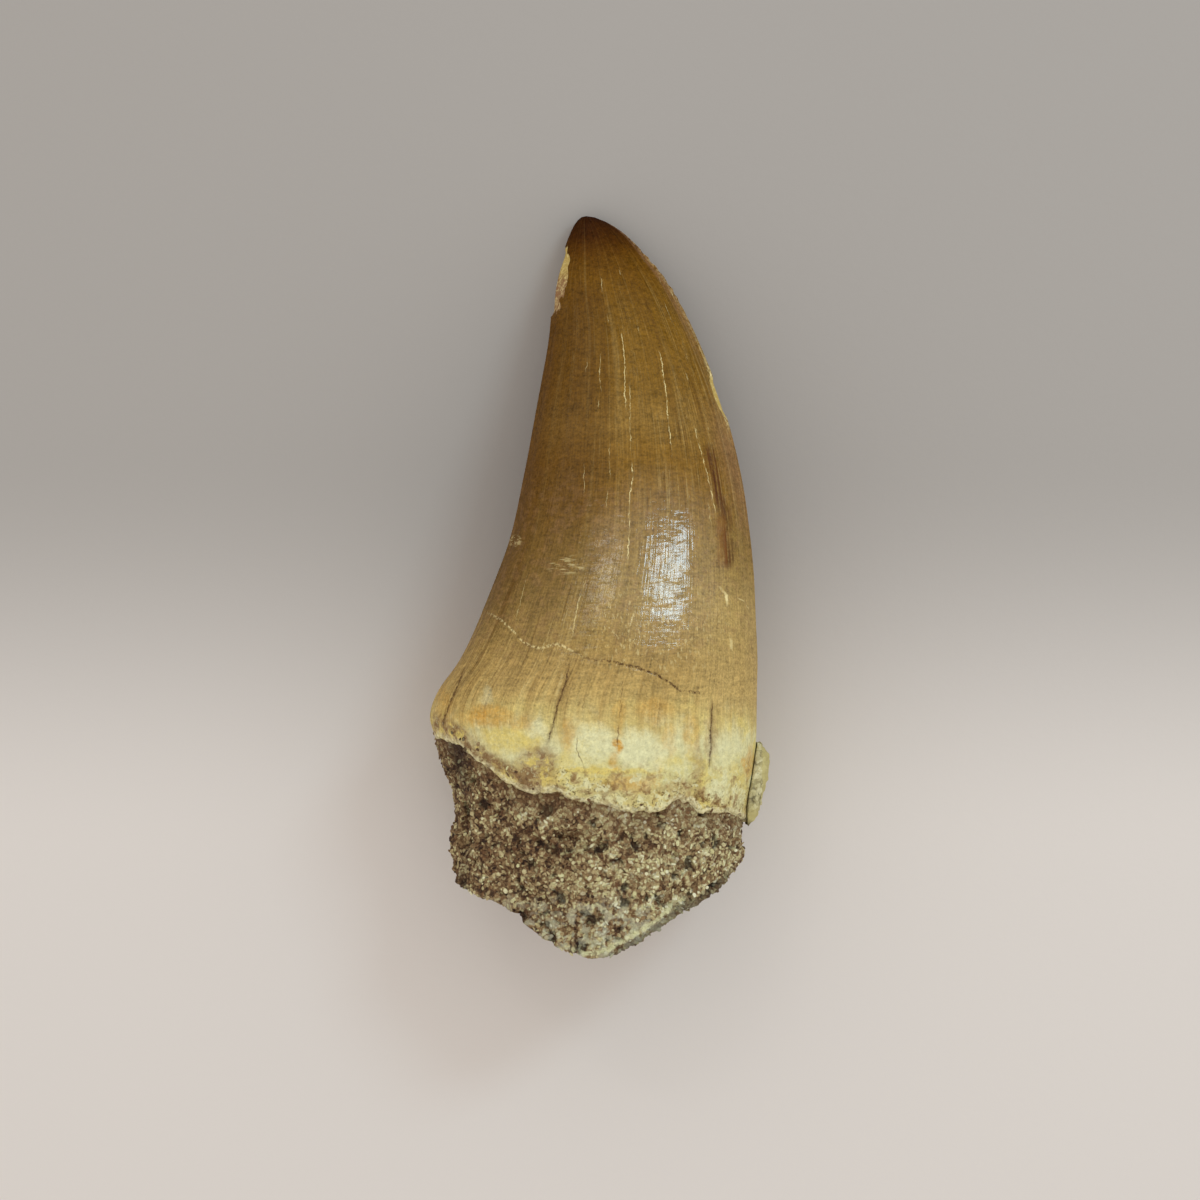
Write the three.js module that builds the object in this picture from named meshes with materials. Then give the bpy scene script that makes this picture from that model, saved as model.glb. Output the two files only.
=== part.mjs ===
// A fossil mosasaur tooth of the Prognathodon kind, lying on its back as such a loose tooth is kept.
// The tooth is one natural piece: a thick recurved crown that ends in a ragged edge, and below it a stub of
// porous root, broken off on the slant. A flake of phosphate rock is still stuck to the crown's side.
// Units are millimetres: +X towards the convex edge, +Y from the root to the tip, +Z up from the table.
import * as THREE from "three";
import { mergeVertices } from "three/addons/utils/BufferGeometryUtils.js";

// Points round the tooth in one row: the rough root needs twice as many as the smooth crown
const crownColumns = 64;
const rootColumns = 2 * crownColumns;
const crownRows = 22;
const rootRows = 11;
const breakRows = 13;

// The tooth's form, row by row from the root up: height, left and right outline, front and back surface.
// The back goes a little under the table line, and what is under it is worn flat.
const stations = [
  [0, -12.9, 12.7, 17.9, 1.2],
  [6, -13.1, 12.75, 18.8, 0.9],
  [12, -13.0, 12.85, 19.7, 0.5],
  [16, -13.65, 13.45, 20.4, 0.1],
  [19, -14.4, 13.65, 20.8, -0.25],
  [21, -14.85, 13.68, 21.0, -0.35],
  [23.2, -14.1, 13.7, 21.0, -0.35],
  [26, -12.4, 13.72, 20.7, -0.2],
  [30, -10.5, 13.55, 19.8, 0.2],
  [36, -8.15, 13.1, 18.1, 1.0],
  [42, -6.8, 12.35, 15.9, 1.6],
  [48, -5.7, 10.85, 13.2, 1.8],
  [54, -4.6, 8.6, 10.0, 1.5],
  [58.5, -4.0, 6.35, 7.3, 0.9],
  [61.5, -3.25, 4.1, 5.2, 0.3],
  [63.5, -2.6, 2.1, 3.6, -0.1],
  [64.7, -2.0, 0.3, 2.6, 0.3],
  [65.1, -1.2, -1.2, 1.5, 1.5],
];
const lastStation = stations.length - 1;
const tipHeight = stations[lastStation][0];
const sectionPower = 2.12; // 2 is an ellipse, and more is squarer

// Heights round the tooth, as degrees and millimetres: 0 is the convex edge, 90 the front, 270 the back
const crownEdge = [
  [0, 12.0],
  [17, 12.3],
  [31, 12.7],
  [47, 13.0],
  [58, 14.1],
  [68, 12.9],
  [88, 13.5],
  [98, 14.0],
  [110, 14.7],
  [123, 15.0],
  [136, 17.0],
  [147, 18.5],
  [180, 19.1],
  [202, 18.6],
  [222, 16.9],
  [240, 17.3],
  [256, 15.2],
  [274, 15.6],
  [292, 13.7],
  [310, 14.1],
  [328, 12.4],
  [345, 12.5],
];
const rootRim = [
  [0, 8.6],
  [18, 7.9],
  [32, 6.4],
  [45, 5.2],
  [58, 4.2],
  [72, 2.3],
  [90, 0.2],
  [104, 1.1],
  [118, 2.9],
  [132, 4.7],
  [146, 5.4],
  [160, 6.3],
  [180, 8.2],
  [200, 9.3],
  [222, 8.1],
  [240, 9.9],
  [262, 10.6],
  [282, 9.0],
  [300, 9.5],
  [322, 7.9],
  [340, 9.0],
];
// How far the root lies inside the crown's ragged edge
const edgeStep = [
  [0, 0.3],
  [30, 0.5],
  [60, 0.45],
  [90, 0.6],
  [120, 0.75],
  [150, 0.45],
  [180, 0.2],
  [220, 0.4],
  [270, 0.3],
  [320, 0.4],
];
const edgeRagged = 0.3; // the torn edge wanders this far up and down
const edgePitch = 1.7;
const edgeGirth = 13;

// The crown's surface
const keelHeight = 0.32; // the cutting edge along each side
const keelHalfWidth = 0.07; // in radians round the section
const keelFades = [24, 34]; // heights between which a keel rises out of the crown
const fluteDepth = 0.05; // soft lengthwise facets
const fluteCount = 11;
const fluteHeights = [18, 32];
const tipSmooth = 5; // keels and flutes die out over this much of the tip
// Lost enamel: degrees round, height, half spans of both, and depth
const chips = [
  { at: 180, height: 59.6, halfTurn: 34, halfHeight: 2.7, depth: 0.4 },
  { at: 2, height: 49.2, halfTurn: 14, halfHeight: 1.3, depth: 0.22 },
];

// The root's surface, and the slanting break under it
const rootLump = 0.42;
const lumpPitch = 2.1;
const pitDepth = 0.8;
const pitPitch = 2.6;
const breakCentre = new THREE.Vector3(0.4, 5.4, 9.6);
const breakLump = 0.8;
const breakPitch = 3.4;
const lipReach = 0.9; // the break swells out this far below the root's front rim
const lipTurn = [20, 50, 80, 105]; // degrees where the lip starts, is full, is still full, and ends

// The stuck flake, by height: its outer face, half its depth from front to back, and its front face
const flakeOuter = [
  [11.4, 12.95],
  [12.2, 13.6],
  [13.4, 14.1],
  [15, 14.45],
  [16.8, 14.74],
  [17.7, 14.65],
  [18.6, 13.95],
];
const flakeHalfDepth = [
  [11.4, 1.5],
  [13, 2.7],
  [16, 3.1],
  [17.8, 2.2],
  [18.6, 1.1],
];
const flakeFront = [
  [11.4, 11.2],
  [13, 12.2],
  [15.5, 12.5],
  [17.6, 12.0],
  [18.6, 10.9],
];
const flakeGap = 0.3; // to the crown behind it
const flakeRows = 14;
const flakeColumns = 18;
const flakeLump = 0.14;
const flakeLumpPitch = 1.1;
const flakePower = 3.6; // squarish, as a broken slab is

const radians = THREE.MathUtils.degToRad;
const fullTurn = 360;

// A smooth curve through points of [where, value]. With a turn it closes on itself.
function along(points, at, turn = 0) {
  const n = points.length;
  const last = n - 1;
  const wrapped = (i) => ((i % n) + n) % n;
  const inRange = (i) => Math.max(0, Math.min(last, i));
  const knot = (i) => (turn ? points[wrapped(i)][0] + turn * Math.floor(i / n) : points[inRange(i)][0]);
  const value = (i) => points[turn ? wrapped(i) : inRange(i)][1];
  const x = turn ? at - turn * Math.floor(at / turn) : Math.max(points[0][0], Math.min(points[last][0], at));
  const spans = turn ? n : last;
  let i = 0;
  while (i < spans - 1 && knot(i + 1) <= x) i += 1;
  const slope = (j) => (value(j + 1) - value(j - 1)) / (knot(j + 1) - knot(j - 1));
  const width = knot(i + 1) - knot(i);
  const t = (x - knot(i)) / width;
  const rise = t * t * (3 - 2 * t);
  const start = t * (1 - t) * (1 - t) * width * slope(i);
  const end = t * t * (t - 1) * width * slope(i + 1);
  return value(i) * (1 - rise) + value(i + 1) * rise + start + end;
}

// The five sizes at a place between two stations. Past the tip the outline comes back down the other side,
// which rounds the tip off.
function formAt(place) {
  const pastTip = ([height, left, right, front, back]) => [height, right, left, back, front];
  const row = (i) => (i > lastStation ? pastTip(stations[2 * lastStation - i]) : stations[Math.max(0, i)]);
  const i = Math.min(lastStation - 1, Math.floor(place));
  const t = place - i;
  const [a, b, c, d] = [row(i - 1), row(i), row(i + 1), row(i + 2)];
  return b.map((here, k) => {
    const bend = 2 * a[k] - 5 * here + 4 * c[k] - d[k];
    const twist = 3 * (here - c[k]) + d[k] - a[k];
    return here + 0.5 * t * (c[k] - a[k] + t * (bend + t * twist));
  });
}

function placeOfHeight(height) {
  let low = 0;
  let high = lastStation;
  for (let step = 0; step < 40; step += 1) {
    const middle = (low + high) / 2;
    if (formAt(middle)[0] < height) low = middle;
    else high = middle;
  }
  return (low + high) / 2;
}

function smoothStep(low, high, x) {
  const t = Math.max(0, Math.min(1, (x - low) / (high - low)));
  return t * t * (3 - 2 * t);
}

// Smooth noise from -1 to 1 on a lattice of the given pitch
function noise(x, y, z, pitch) {
  const cell = [x, y, z].map((v) => Math.floor(v / pitch));
  const ease = [x, y, z].map((v, i) => smoothStep(0, 1, v / pitch - cell[i]));
  let sum = 0;
  for (let corner = 0; corner < 8; corner += 1) {
    const bits = [corner & 1, (corner >> 1) & 1, corner >> 2];
    const [i, j, k] = cell.map((v, axis) => v + bits[axis]);
    const spread = Math.sin(i * 127.1 + j * 311.7 + k * 74.7) * 43758.5453;
    const weight = bits.reduce((product, bit, axis) => product * (bit ? ease[axis] : 1 - ease[axis]), 1);
    sum += weight * (spread - Math.floor(spread));
  }
  return 2 * sum - 1;
}

function boxed(v, power) {
  return Math.sign(v) * Math.abs(v) ** (2 / power);
}

// A point on the section at one place, pushed out by some millimetres
function onSection(place, degrees, out) {
  const [height, left, right, front, back] = formAt(place);
  const halfWidth = (right - left) / 2 + out;
  const halfDepth = (front - back) / 2 + out;
  return new THREE.Vector3(
    (left + right) / 2 + halfWidth * boxed(Math.cos(radians(degrees)), sectionPower),
    height,
    (front + back) / 2 + halfDepth * boxed(Math.sin(radians(degrees)), sectionPower),
  );
}

function turnFrom(middle, degrees) {
  return Math.abs(((degrees - middle + 1.5 * fullTurn) % fullTurn) - fullTurn / 2);
}

// Keels, flutes and chips of the crown, as a push outwards
function crownRelief(height, degrees) {
  const offTip = smoothStep(tipHeight, tipHeight - tipSmooth, height);
  const keel = (middle) => Math.exp(-((radians(turnFrom(middle, degrees)) / keelHalfWidth) ** 2) / 2);
  const flute = Math.cos(radians(degrees) * fluteCount + 1.3 * Math.sin(radians(degrees)));
  let push = keelHeight * smoothStep(...keelFades, height) * (keel(0) + keel(180));
  push += fluteDepth * smoothStep(...fluteHeights, height) * flute;
  push *= offTip;
  for (const chip of chips) {
    const aside = turnFrom(chip.at, degrees) / chip.halfTurn;
    const reach = Math.hypot(aside, (height - chip.height) / chip.halfHeight);
    push -= chip.depth * smoothStep(1.1, 0.8, reach);
  }
  return push;
}

// Lumps and hollows of the porous root, as a push outwards
function rootRelief(p, size) {
  const lumps = noise(p.x, p.y, p.z, lumpPitch) + 0.6 * noise(p.x, p.y, p.z, lumpPitch / 2.3);
  const hollow = smoothStep(0.3, 0.7, noise(p.x + 40, p.y, p.z, pitPitch));
  return size * lumps - pitDepth * hollow;
}

function edgeHeight(degrees) {
  const [x, z] = [edgeGirth * Math.cos(radians(degrees)), edgeGirth * Math.sin(radians(degrees))];
  return along(crownEdge, degrees, fullTurn) + edgeRagged * noise(x, 0, z, edgePitch);
}

function crownPoint(degrees, row) {
  const start = placeOfHeight(edgeHeight(degrees));
  const place = start + ((lastStation - start) * row) / crownRows;
  return onSection(place, degrees, crownRelief(formAt(place)[0], degrees));
}

function rootPoint(degrees, row, relief = 1) {
  const edge = edgeHeight(degrees) - 0.2;
  const place = placeOfHeight(edge + ((along(rootRim, degrees, fullTurn) - edge) * row) / rootRows);
  const inset = -along(edgeStep, degrees, fullTurn);
  const settled = relief * Math.min(1, 0.3 + row / 3); // smoother right under the crown's edge
  return onSection(place, degrees, inset + settled * rootRelief(onSection(place, degrees, inset), rootLump));
}

function breakPoint(degrees, row) {
  const share = row / breakRows;
  const bare = rootPoint(degrees, rootRows, 0);
  const p = bare.clone().lerp(breakCentre, share);
  const rimRelief = rootPoint(degrees, rootRows).sub(bare);
  const lip = smoothStep(lipTurn[0], lipTurn[1], degrees) * smoothStep(lipTurn[3], lipTurn[2], degrees);
  const down = lipReach * lip * Math.sin(Math.PI * Math.min(1, 2.2 * share));
  const lumps = noise(p.x, 0, p.z, breakPitch) + 0.5 * noise(p.x, 20, p.z, breakPitch / 2);
  p.addScaledVector(rimRelief, 1 - smoothStep(0, 0.2, share));
  p.y -= down + breakLump * lumps * smoothStep(0, 0.25, share);
  return p;
}

function ringOf(columns, pointAt) {
  return Array.from({ length: columns }, (_, column) => pointAt((fullTurn * column) / columns));
}

// A closed skin through rings of points, with one point at each end. Where the next ring has half as many
// points, each of its steps meets two of this one's.
function skin(firstPoint, rings, lastPoint) {
  const points = [firstPoint, ...rings.flat(), lastPoint];
  const faces = [];
  let start = 1;
  rings.forEach((ring, r) => {
    const n = ring.length;
    const here = (column) => start + (column % n);
    const next = rings[r + 1];
    const above = (column) => start + n + (column % next.length);
    for (let column = 0; column < n; column += 1) {
      if (r === 0) faces.push(0, here(column), here(column + 1));
      if (!next) faces.push(points.length - 1, here(column + 1), here(column));
      else if (next.length === n) {
        faces.push(here(column), above(column + 1), here(column + 1));
        faces.push(here(column), above(column), above(column + 1));
      } else if (column % 2 === 0) {
        const half = column / 2;
        faces.push(here(column), above(half), here(column + 1));
        faces.push(here(column + 1), above(half), above(half + 1));
        faces.push(here(column + 1), above(half + 1), here(column + 2));
      }
    }
    start += n;
  });
  return wornFlat(points, faces);
}

// The closed geometry, with whatever would go under the table worn flat
function wornFlat(points, faces) {
  const geometry = new THREE.BufferGeometry();
  const places = points.flatMap((p) => [p.x, p.y, Math.max(0, p.z)]);
  geometry.setAttribute("position", new THREE.Float32BufferAttribute(places, 3));
  geometry.setIndex(faces);
  const closed = mergeVertices(geometry, 1e-4);
  closed.computeVertexNormals();
  return closed;
}

function toothGeometry() {
  const rings = [];
  for (let row = breakRows - 1; row >= 1; row -= 1) {
    rings.push(ringOf(rootColumns, (degrees) => breakPoint(degrees, row)));
  }
  for (let row = rootRows; row >= 0; row -= 1) {
    rings.push(ringOf(rootColumns, (degrees) => rootPoint(degrees, row)));
  }
  rings.push(ringOf(rootColumns, (degrees) => crownPoint(degrees, 0)));
  for (let row = 1; row < crownRows; row += 1) {
    rings.push(ringOf(crownColumns, (degrees) => crownPoint(degrees, row)));
  }
  return skin(breakPoint(0, breakRows), rings, onSection(lastStation, 0, 0));
}

// The crown's side at a height and depth, where the flake is stuck
function crownSide(height, depth) {
  const [, left, right, front, back] = formAt(placeOfHeight(height));
  const rise = Math.abs((2 * depth - front - back) / (front - back));
  return (left + right) / 2 + ((right - left) / 2) * (1 - rise ** sectionPower) ** (1 / sectionPower);
}

function flakePoint(height, degrees) {
  const reach = along(flakeHalfDepth, height);
  const middle = along(flakeFront, height) - reach;
  const depth = middle + reach * boxed(Math.cos(radians(degrees)), flakePower);
  const inner = crownSide(height, depth) + flakeGap;
  const thickness = along(flakeOuter, height) - crownSide(height, middle) - flakeGap;
  const swell = thickness + flakeLump * noise(inner, height, depth, flakeLumpPitch);
  const out = Math.max(0, swell * -boxed(Math.sin(radians(degrees)), flakePower));
  return new THREE.Vector3(inner + out, height, depth);
}

function flakeGeometry() {
  const [low, high] = [flakeOuter[0][0], flakeOuter.at(-1)[0]];
  const rings = [];
  for (let row = 0; row <= flakeRows; row += 1) {
    const height = low + ((high - low) * row) / flakeRows;
    rings.push(ringOf(flakeColumns, (degrees) => flakePoint(height, degrees)));
  }
  const middleOf = (ring) => {
    const middle = new THREE.Vector3();
    ring.forEach((p) => middle.addScaledVector(p, 1 / ring.length));
    return middle;
  };
  return skin(middleOf(rings[0]), rings, middleOf(rings.at(-1)));
}

const part = new THREE.Group();

const enamel = new THREE.MeshStandardMaterial({ color: 0x9a7440, roughness: 0.3, metalness: 0 });
const tooth = new THREE.Mesh(toothGeometry(), enamel);
tooth.name = "tooth";
part.add(tooth);

const rock = new THREE.MeshStandardMaterial({ color: 0x9c9070, roughness: 0.85, metalness: 0 });
const flake = new THREE.Mesh(flakeGeometry(), rock);
flake.name = "rock_flake";
part.add(flake);

// The origin goes under the middle of the whole outline, on the table
const box = new THREE.Box3().setFromObject(part);
const middle = box.getCenter(new THREE.Vector3());
part.position.set(-middle.x, -middle.y, -box.min.z);

export default part;
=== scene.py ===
import math

import bpy
import numpy as np
from mathutils import Matrix, Vector


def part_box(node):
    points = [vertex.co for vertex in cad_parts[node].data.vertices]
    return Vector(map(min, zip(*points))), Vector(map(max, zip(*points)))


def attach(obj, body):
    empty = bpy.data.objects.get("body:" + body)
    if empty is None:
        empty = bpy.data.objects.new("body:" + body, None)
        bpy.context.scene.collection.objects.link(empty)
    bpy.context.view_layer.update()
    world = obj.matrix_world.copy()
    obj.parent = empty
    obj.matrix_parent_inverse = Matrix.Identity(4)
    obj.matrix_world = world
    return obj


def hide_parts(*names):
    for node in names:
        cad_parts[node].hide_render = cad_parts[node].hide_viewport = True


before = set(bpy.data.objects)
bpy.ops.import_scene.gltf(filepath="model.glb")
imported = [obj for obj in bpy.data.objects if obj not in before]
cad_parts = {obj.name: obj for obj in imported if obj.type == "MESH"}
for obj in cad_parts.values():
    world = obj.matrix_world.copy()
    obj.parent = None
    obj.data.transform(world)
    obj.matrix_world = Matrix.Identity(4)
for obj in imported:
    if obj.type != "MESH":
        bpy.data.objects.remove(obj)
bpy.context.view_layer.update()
print("frame: the packed tooth and its rock flake are loaded")

mm = 0.001
fullTurn = 360


# The camera looks straight down on the lying tooth. Places below are millimetres: x to the right and y up
# in the view, both from the foot of the view's middle line, z up from the table.
view = {
    "width": 105.0,       # what the square frame shows across, at the height of the tooth's outline
    "middle": (0.0, 31.05),
    "outlineHeight": 9.5,
    "lens": 200.0,
    "sensor": 36.0,
}


# Small maths for the forms

def smooth(low, high, x):
    t = np.clip((x - low) / (high - low), 0, 1)
    return t * t * (3 - 2 * t)


def along(points, at, turn=0):  # a smooth curve through [where, value]; with a turn it closes on itself
    where, value = np.array(points, float).T
    if turn:
        where = np.concatenate([where[-2:] - turn, where, where[:2] + turn])
        value = np.concatenate([value[-2:], value, value[:2]])
        at = np.mod(at, turn)
    at = np.clip(at, where[0], where[-1])
    slope = np.empty_like(value)
    slope[1:-1] = (value[2:] - value[:-2]) / (where[2:] - where[:-2])
    slope[0] = (value[1] - value[0]) / (where[1] - where[0])
    slope[-1] = (value[-1] - value[-2]) / (where[-1] - where[-2])
    i = np.clip(np.searchsorted(where, at, side="right") - 1, 0, len(where) - 2)
    width = where[i + 1] - where[i]
    t = (at - where[i]) / width
    rise = t * t * (3 - 2 * t)
    bend = t * (1 - t) * width * ((1 - t) * slope[i] - t * slope[i + 1])
    return value[i] * (1 - rise) + value[i + 1] * rise + bend


def latticeNoise(p, pitch):  # smooth, from -1 to 1
    cell = np.floor(p / pitch)
    ease = smooth(0, 1, p / pitch - cell)
    total = np.zeros(len(p))
    for corner in range(8):
        bits = np.array([corner & 1, (corner >> 1) & 1, corner >> 2])
        spread = np.sin((cell + bits) @ np.array([127.1, 311.7, 74.7])) * 43758.5453
        total += np.prod(np.where(bits, ease, 1 - ease), axis=1) * (spread - np.floor(spread))
    return 2 * total - 1


def ragged(start, p, layers):  # each layer says how far it wanders, and over what length
    for reach, pitch in layers:
        start = start + reach * latticeNoise(p, pitch)
    return start


def boxed(v, power):
    return np.sign(v) * np.abs(v) ** (2 / power)


def lineDistance(p, line):
    nearest = np.full(len(p), np.inf)
    for a, b in zip(np.array(line[:-1], float), np.array(line[1:], float)):
        t = np.clip((p - a) @ (b - a) / ((b - a) @ (b - a)), 0, 1)
        nearest = np.minimum(nearest, np.linalg.norm(p - a - t[:, None] * (b - a), axis=1))
    return nearest


# The tooth: crown and root in one skin of rings, from the middle of the break up to the tip
tooth = {
    "crownColumns": 224,
    "rootColumns": 448,
    "frontCrowding": 0.25,   # how much closer the columns stand on the seen side
    "tipColumnsFrom": 52.0,  # above this height half the columns are enough
    "rootRows": 70,
    "breakRows": 58,
    "breakColumnSteps": (14, 34),  # rows from the middle where the columns double
    "crownRowStep": 0.38,
    "crackRowStep": 0.12,    # closer rows where the cross crack is carved
    "crackRows": (20.5, 31.0),
    # height, left and right outline, front and back surface
    "stations": [
        [0, -12.9, 12.7, 17.9, 1.2],
        [6, -13.1, 12.75, 18.8, 0.9],
        [12, -13.0, 12.85, 19.7, 0.5],
        [16, -13.65, 13.45, 20.4, 0.1],
        [19, -14.4, 13.65, 20.8, -0.25],
        [21, -14.85, 13.68, 21.0, -0.35],
        [23.2, -14.1, 13.7, 21.0, -0.35],
        [26, -12.15, 13.7, 20.7, -0.2],
        [30, -10.15, 13.35, 19.8, 0.2],
        [36, -7.75, 12.85, 18.1, 1.0],
        [42, -6.4, 12.0, 15.9, 1.6],
        [48, -5.3, 10.5, 13.2, 1.8],
        [54, -4.25, 8.25, 10.0, 1.5],
        [58.5, -3.9, 6.0, 7.3, 0.9],
        [61.5, -3.15, 3.8, 5.2, 0.3],
        [63.5, -2.6, 2.1, 3.6, -0.1],
        [64.7, -2.0, 0.3, 2.6, 0.3],
        [65.1, -1.2, -1.2, 1.5, 1.5],
    ],
    "sectionPower": 2.12,
    # degrees round the tooth and height: 0 is the convex edge, 90 the front, 270 the back
    "crownEdge": [
        [0, 12.0], [17, 12.3], [31, 12.7], [47, 13.0], [52, 13.7], [58, 13.9], [64, 13.4], [69, 12.9],
        [88, 13.5], [98, 14.0], [110, 14.7], [123, 15.0], [136, 17.0], [147, 18.5], [180, 19.1],
        [202, 18.6], [222, 16.9], [240, 17.3], [256, 15.2], [274, 15.6], [292, 13.7], [310, 14.1],
        [328, 12.4], [345, 12.5],
    ],
    "rootRim": [
        [0, 8.6], [18, 7.7], [32, 6.1], [45, 4.95], [58, 3.9], [72, 1.9], [90, 0.15], [104, 0.9],
        [118, 2.6], [132, 4.7], [146, 5.4], [160, 6.3], [180, 8.2], [200, 9.3], [222, 8.1], [240, 9.9],
        [262, 10.6], [282, 9.0], [300, 9.5], [322, 7.9], [340, 9.0],
    ],
    "edgeStep": [  # how far the root stands in from the crown there
        [0, 0.3], [30, 0.5], [60, 0.45], [90, 0.6], [120, 0.75], [150, 0.45], [180, 0.2], [220, 0.4],
        [270, 0.3], [320, 0.4],
    ],
    "edgeRagged": [(0.3, 1.7), (0.16, 0.55), (0.07, 0.24)],  # how far it wanders, and over what length
    "edgeGirth": 13.0,
    "edgeThickness": 0.24,   # of the broken enamel
    "edgeRows": [(0.16, 0.55), (0.05, 0.12)],  # how far down, and in by what share of that thickness
    "rootTuck": 0.2,         # how far up under the enamel the root starts
    "keelHeight": 0.32,
    "keelHalfWidth": 0.07,
    "keelFades": (24, 34),
    "serration": (0.1, 0.72, 55.5, 63.8),  # depth, pitch, and the heights between which it notches the keel
    "serrationWander": (2, 1.3),
    "fluteDepth": 0.05,
    "fluteCount": 11,
    "fluteHeights": (18, 32),
    "tipSmooth": 5,
    "chips": [
        {"at": 180, "height": 59.2, "halfTurn": 33, "halfHeight": 3.0, "depth": 0.28},
        {"at": 2, "height": 48.9, "halfTurn": 8, "halfHeight": 1.7, "depth": 0.2},
    ],
    "chipRagged": 0.2,
    "chipPitch": (0.9, 9),   # millimetres up the tooth, and how many degrees round it count as one
    "crackRagged": [(0.16, 0.7), (0.07, 0.25)],
    "rootLump": 0.42,
    "lumpPitch": 2.1,
    "lumpDetail": (0.6, 2.3),  # how strong the smaller lumps are, and how many times smaller
    "pitDepth": 0.8,
    "pitPitch": 2.6,
    "pitLevels": (0.3, 0.7),
    "breakCentre": (0.4, 5.4, 9.6),
    "breakLump": 0.8,
    "breakPitch": 3.4,
    "lipReach": 0.9,
    "lipTurn": (20, 50, 80, 105),
}

# Cracks that are carved: half width and depth, and the half width and strength of the rust beside them
carvedCracks = [
    {"half": 0.13, "depth": 0.07, "line": [
        (-10.1, 30.1), (-8.7, 29.4), (-7.5, 28.4), (-6.5, 27.3), (-5.1, 26.9), (-3.7, 27.3), (-2.6, 26.8),
        (-0.9, 25.9), (0.9, 25.8), (3.3, 25.2), (4.8, 24.7), (5.6, 24.2), (6.9, 23.3), (8.4, 23.1),
        (9.6, 22.9)]},
    {"half": 0.1, "depth": 0.05, "rust": (0.34, 0.4), "line": [
        (-2.65, 25.9), (-2.7, 25.0), (-2.95, 23.9), (-3.7, 21.8), (-3.95, 20.6), (-4.3, 19.4),
        (-4.7, 18.2)]},
    {"half": 0.1, "depth": 0.04, "rust": (0.3, 0.4), "line": [
        (9.7, 22.8), (9.65, 21.0), (9.5, 19.7), (9.55, 18.0), (9.4, 16.2)]},
    {"half": 0.1, "depth": 0.05, "rust": (0.3, 0.35), "line": [
        (-11.6, 25.6), (-12.2, 23.9), (-13.1, 21.8), (-13.5, 20.7), (-13.7, 19.5)]},
]

# Hollows on the seen side: place, reach across and up, and depth
hollows = [
    {"at": (-4.9, 16.9), "reach": (0.8, 1.5), "depth": 0.25},    # crumbled notch in the crown's edge
    {"at": (-12.6, 12.9), "reach": (1.0, 1.5), "depth": 0.9},    # dark pocket at the left edge
    {"at": (-3.1, 10.7), "reach": (0.95, 0.35), "depth": 0.55},
    {"at": (0.05, 10.2), "reach": (0.35, 0.9), "depth": 0.6},
    {"at": (-5.5, 10.6), "reach": (0.4, 0.35), "depth": 0.45},
    {"at": (-10.2, 14.2), "reach": (0.7, 0.5), "depth": 0.5},
    {"at": (3.2, 12.3), "reach": (0.6, 0.4), "depth": 0.4},
    {"at": (9.6, 11.6), "reach": (0.5, 0.7), "depth": 0.4},
]

stations = np.array(tooth["stations"], float)
lastStation = len(stations) - 1
tipHeight = stations[-1][0]
pastTip = stations[[-2]][:, [0, 2, 1, 4, 3]]  # past the tip the outline comes back down the other side
paddedStations = np.concatenate([stations[:1], stations, pastTip])


def formAt(place):
    i = np.clip(np.floor(place).astype(int), 0, lastStation - 1)
    t = (place - i)[:, None]
    a, b, c, d = (paddedStations[i + k] for k in range(4))
    bend = 2 * a - 5 * b + 4 * c - d
    twist = 3 * (b - c) + d - a
    return (b + 0.5 * t * (c - a + t * (bend + t * twist))).T


finePlaces = np.linspace(0, lastStation, 8001)
fineHeights = formAt(finePlaces)[0]


def placeOfHeight(height):
    return np.interp(height, fineHeights, finePlaces)


def onSection(place, degrees, out):
    height, left, right, front, back = formAt(place)
    turn = np.radians(degrees)
    across = ((right - left) / 2 + out) * boxed(np.cos(turn), tooth["sectionPower"])
    upward = ((front - back) / 2 + out) * boxed(np.sin(turn), tooth["sectionPower"])
    return np.stack([(left + right) / 2 + across, height, (front + back) / 2 + upward], axis=1)


def turnFrom(middle, degrees):
    return np.mod(degrees - middle + fullTurn / 2, fullTurn) - fullTurn / 2


def chipMask(height, degrees):
    mask = np.zeros(len(degrees))
    pitch, degreesPerUnit = tooth["chipPitch"]
    for chip in tooth["chips"]:
        aside = turnFrom(chip["at"], degrees)
        p = np.stack([aside / degreesPerUnit, height, 0 * height], axis=1)
        reach = np.hypot(aside / chip["halfTurn"], (height - chip["height"]) / chip["halfHeight"])
        reach = ragged(reach, p, [(tooth["chipRagged"], pitch)])
        mask = np.maximum(mask, smooth(1.1, 0.8, reach) * chip["depth"])
    return mask


def hollowDepth(p, degrees):
    depth = np.zeros(len(p))
    for hollow in hollows:
        aside = (p[:, :2] - np.array(hollow["at"])) / np.array(hollow["reach"])
        depth += hollow["depth"] * np.exp(-(aside ** 2).sum(axis=1))
    return depth * smooth(-0.2, 0.1, np.sin(np.radians(degrees)))


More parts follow.
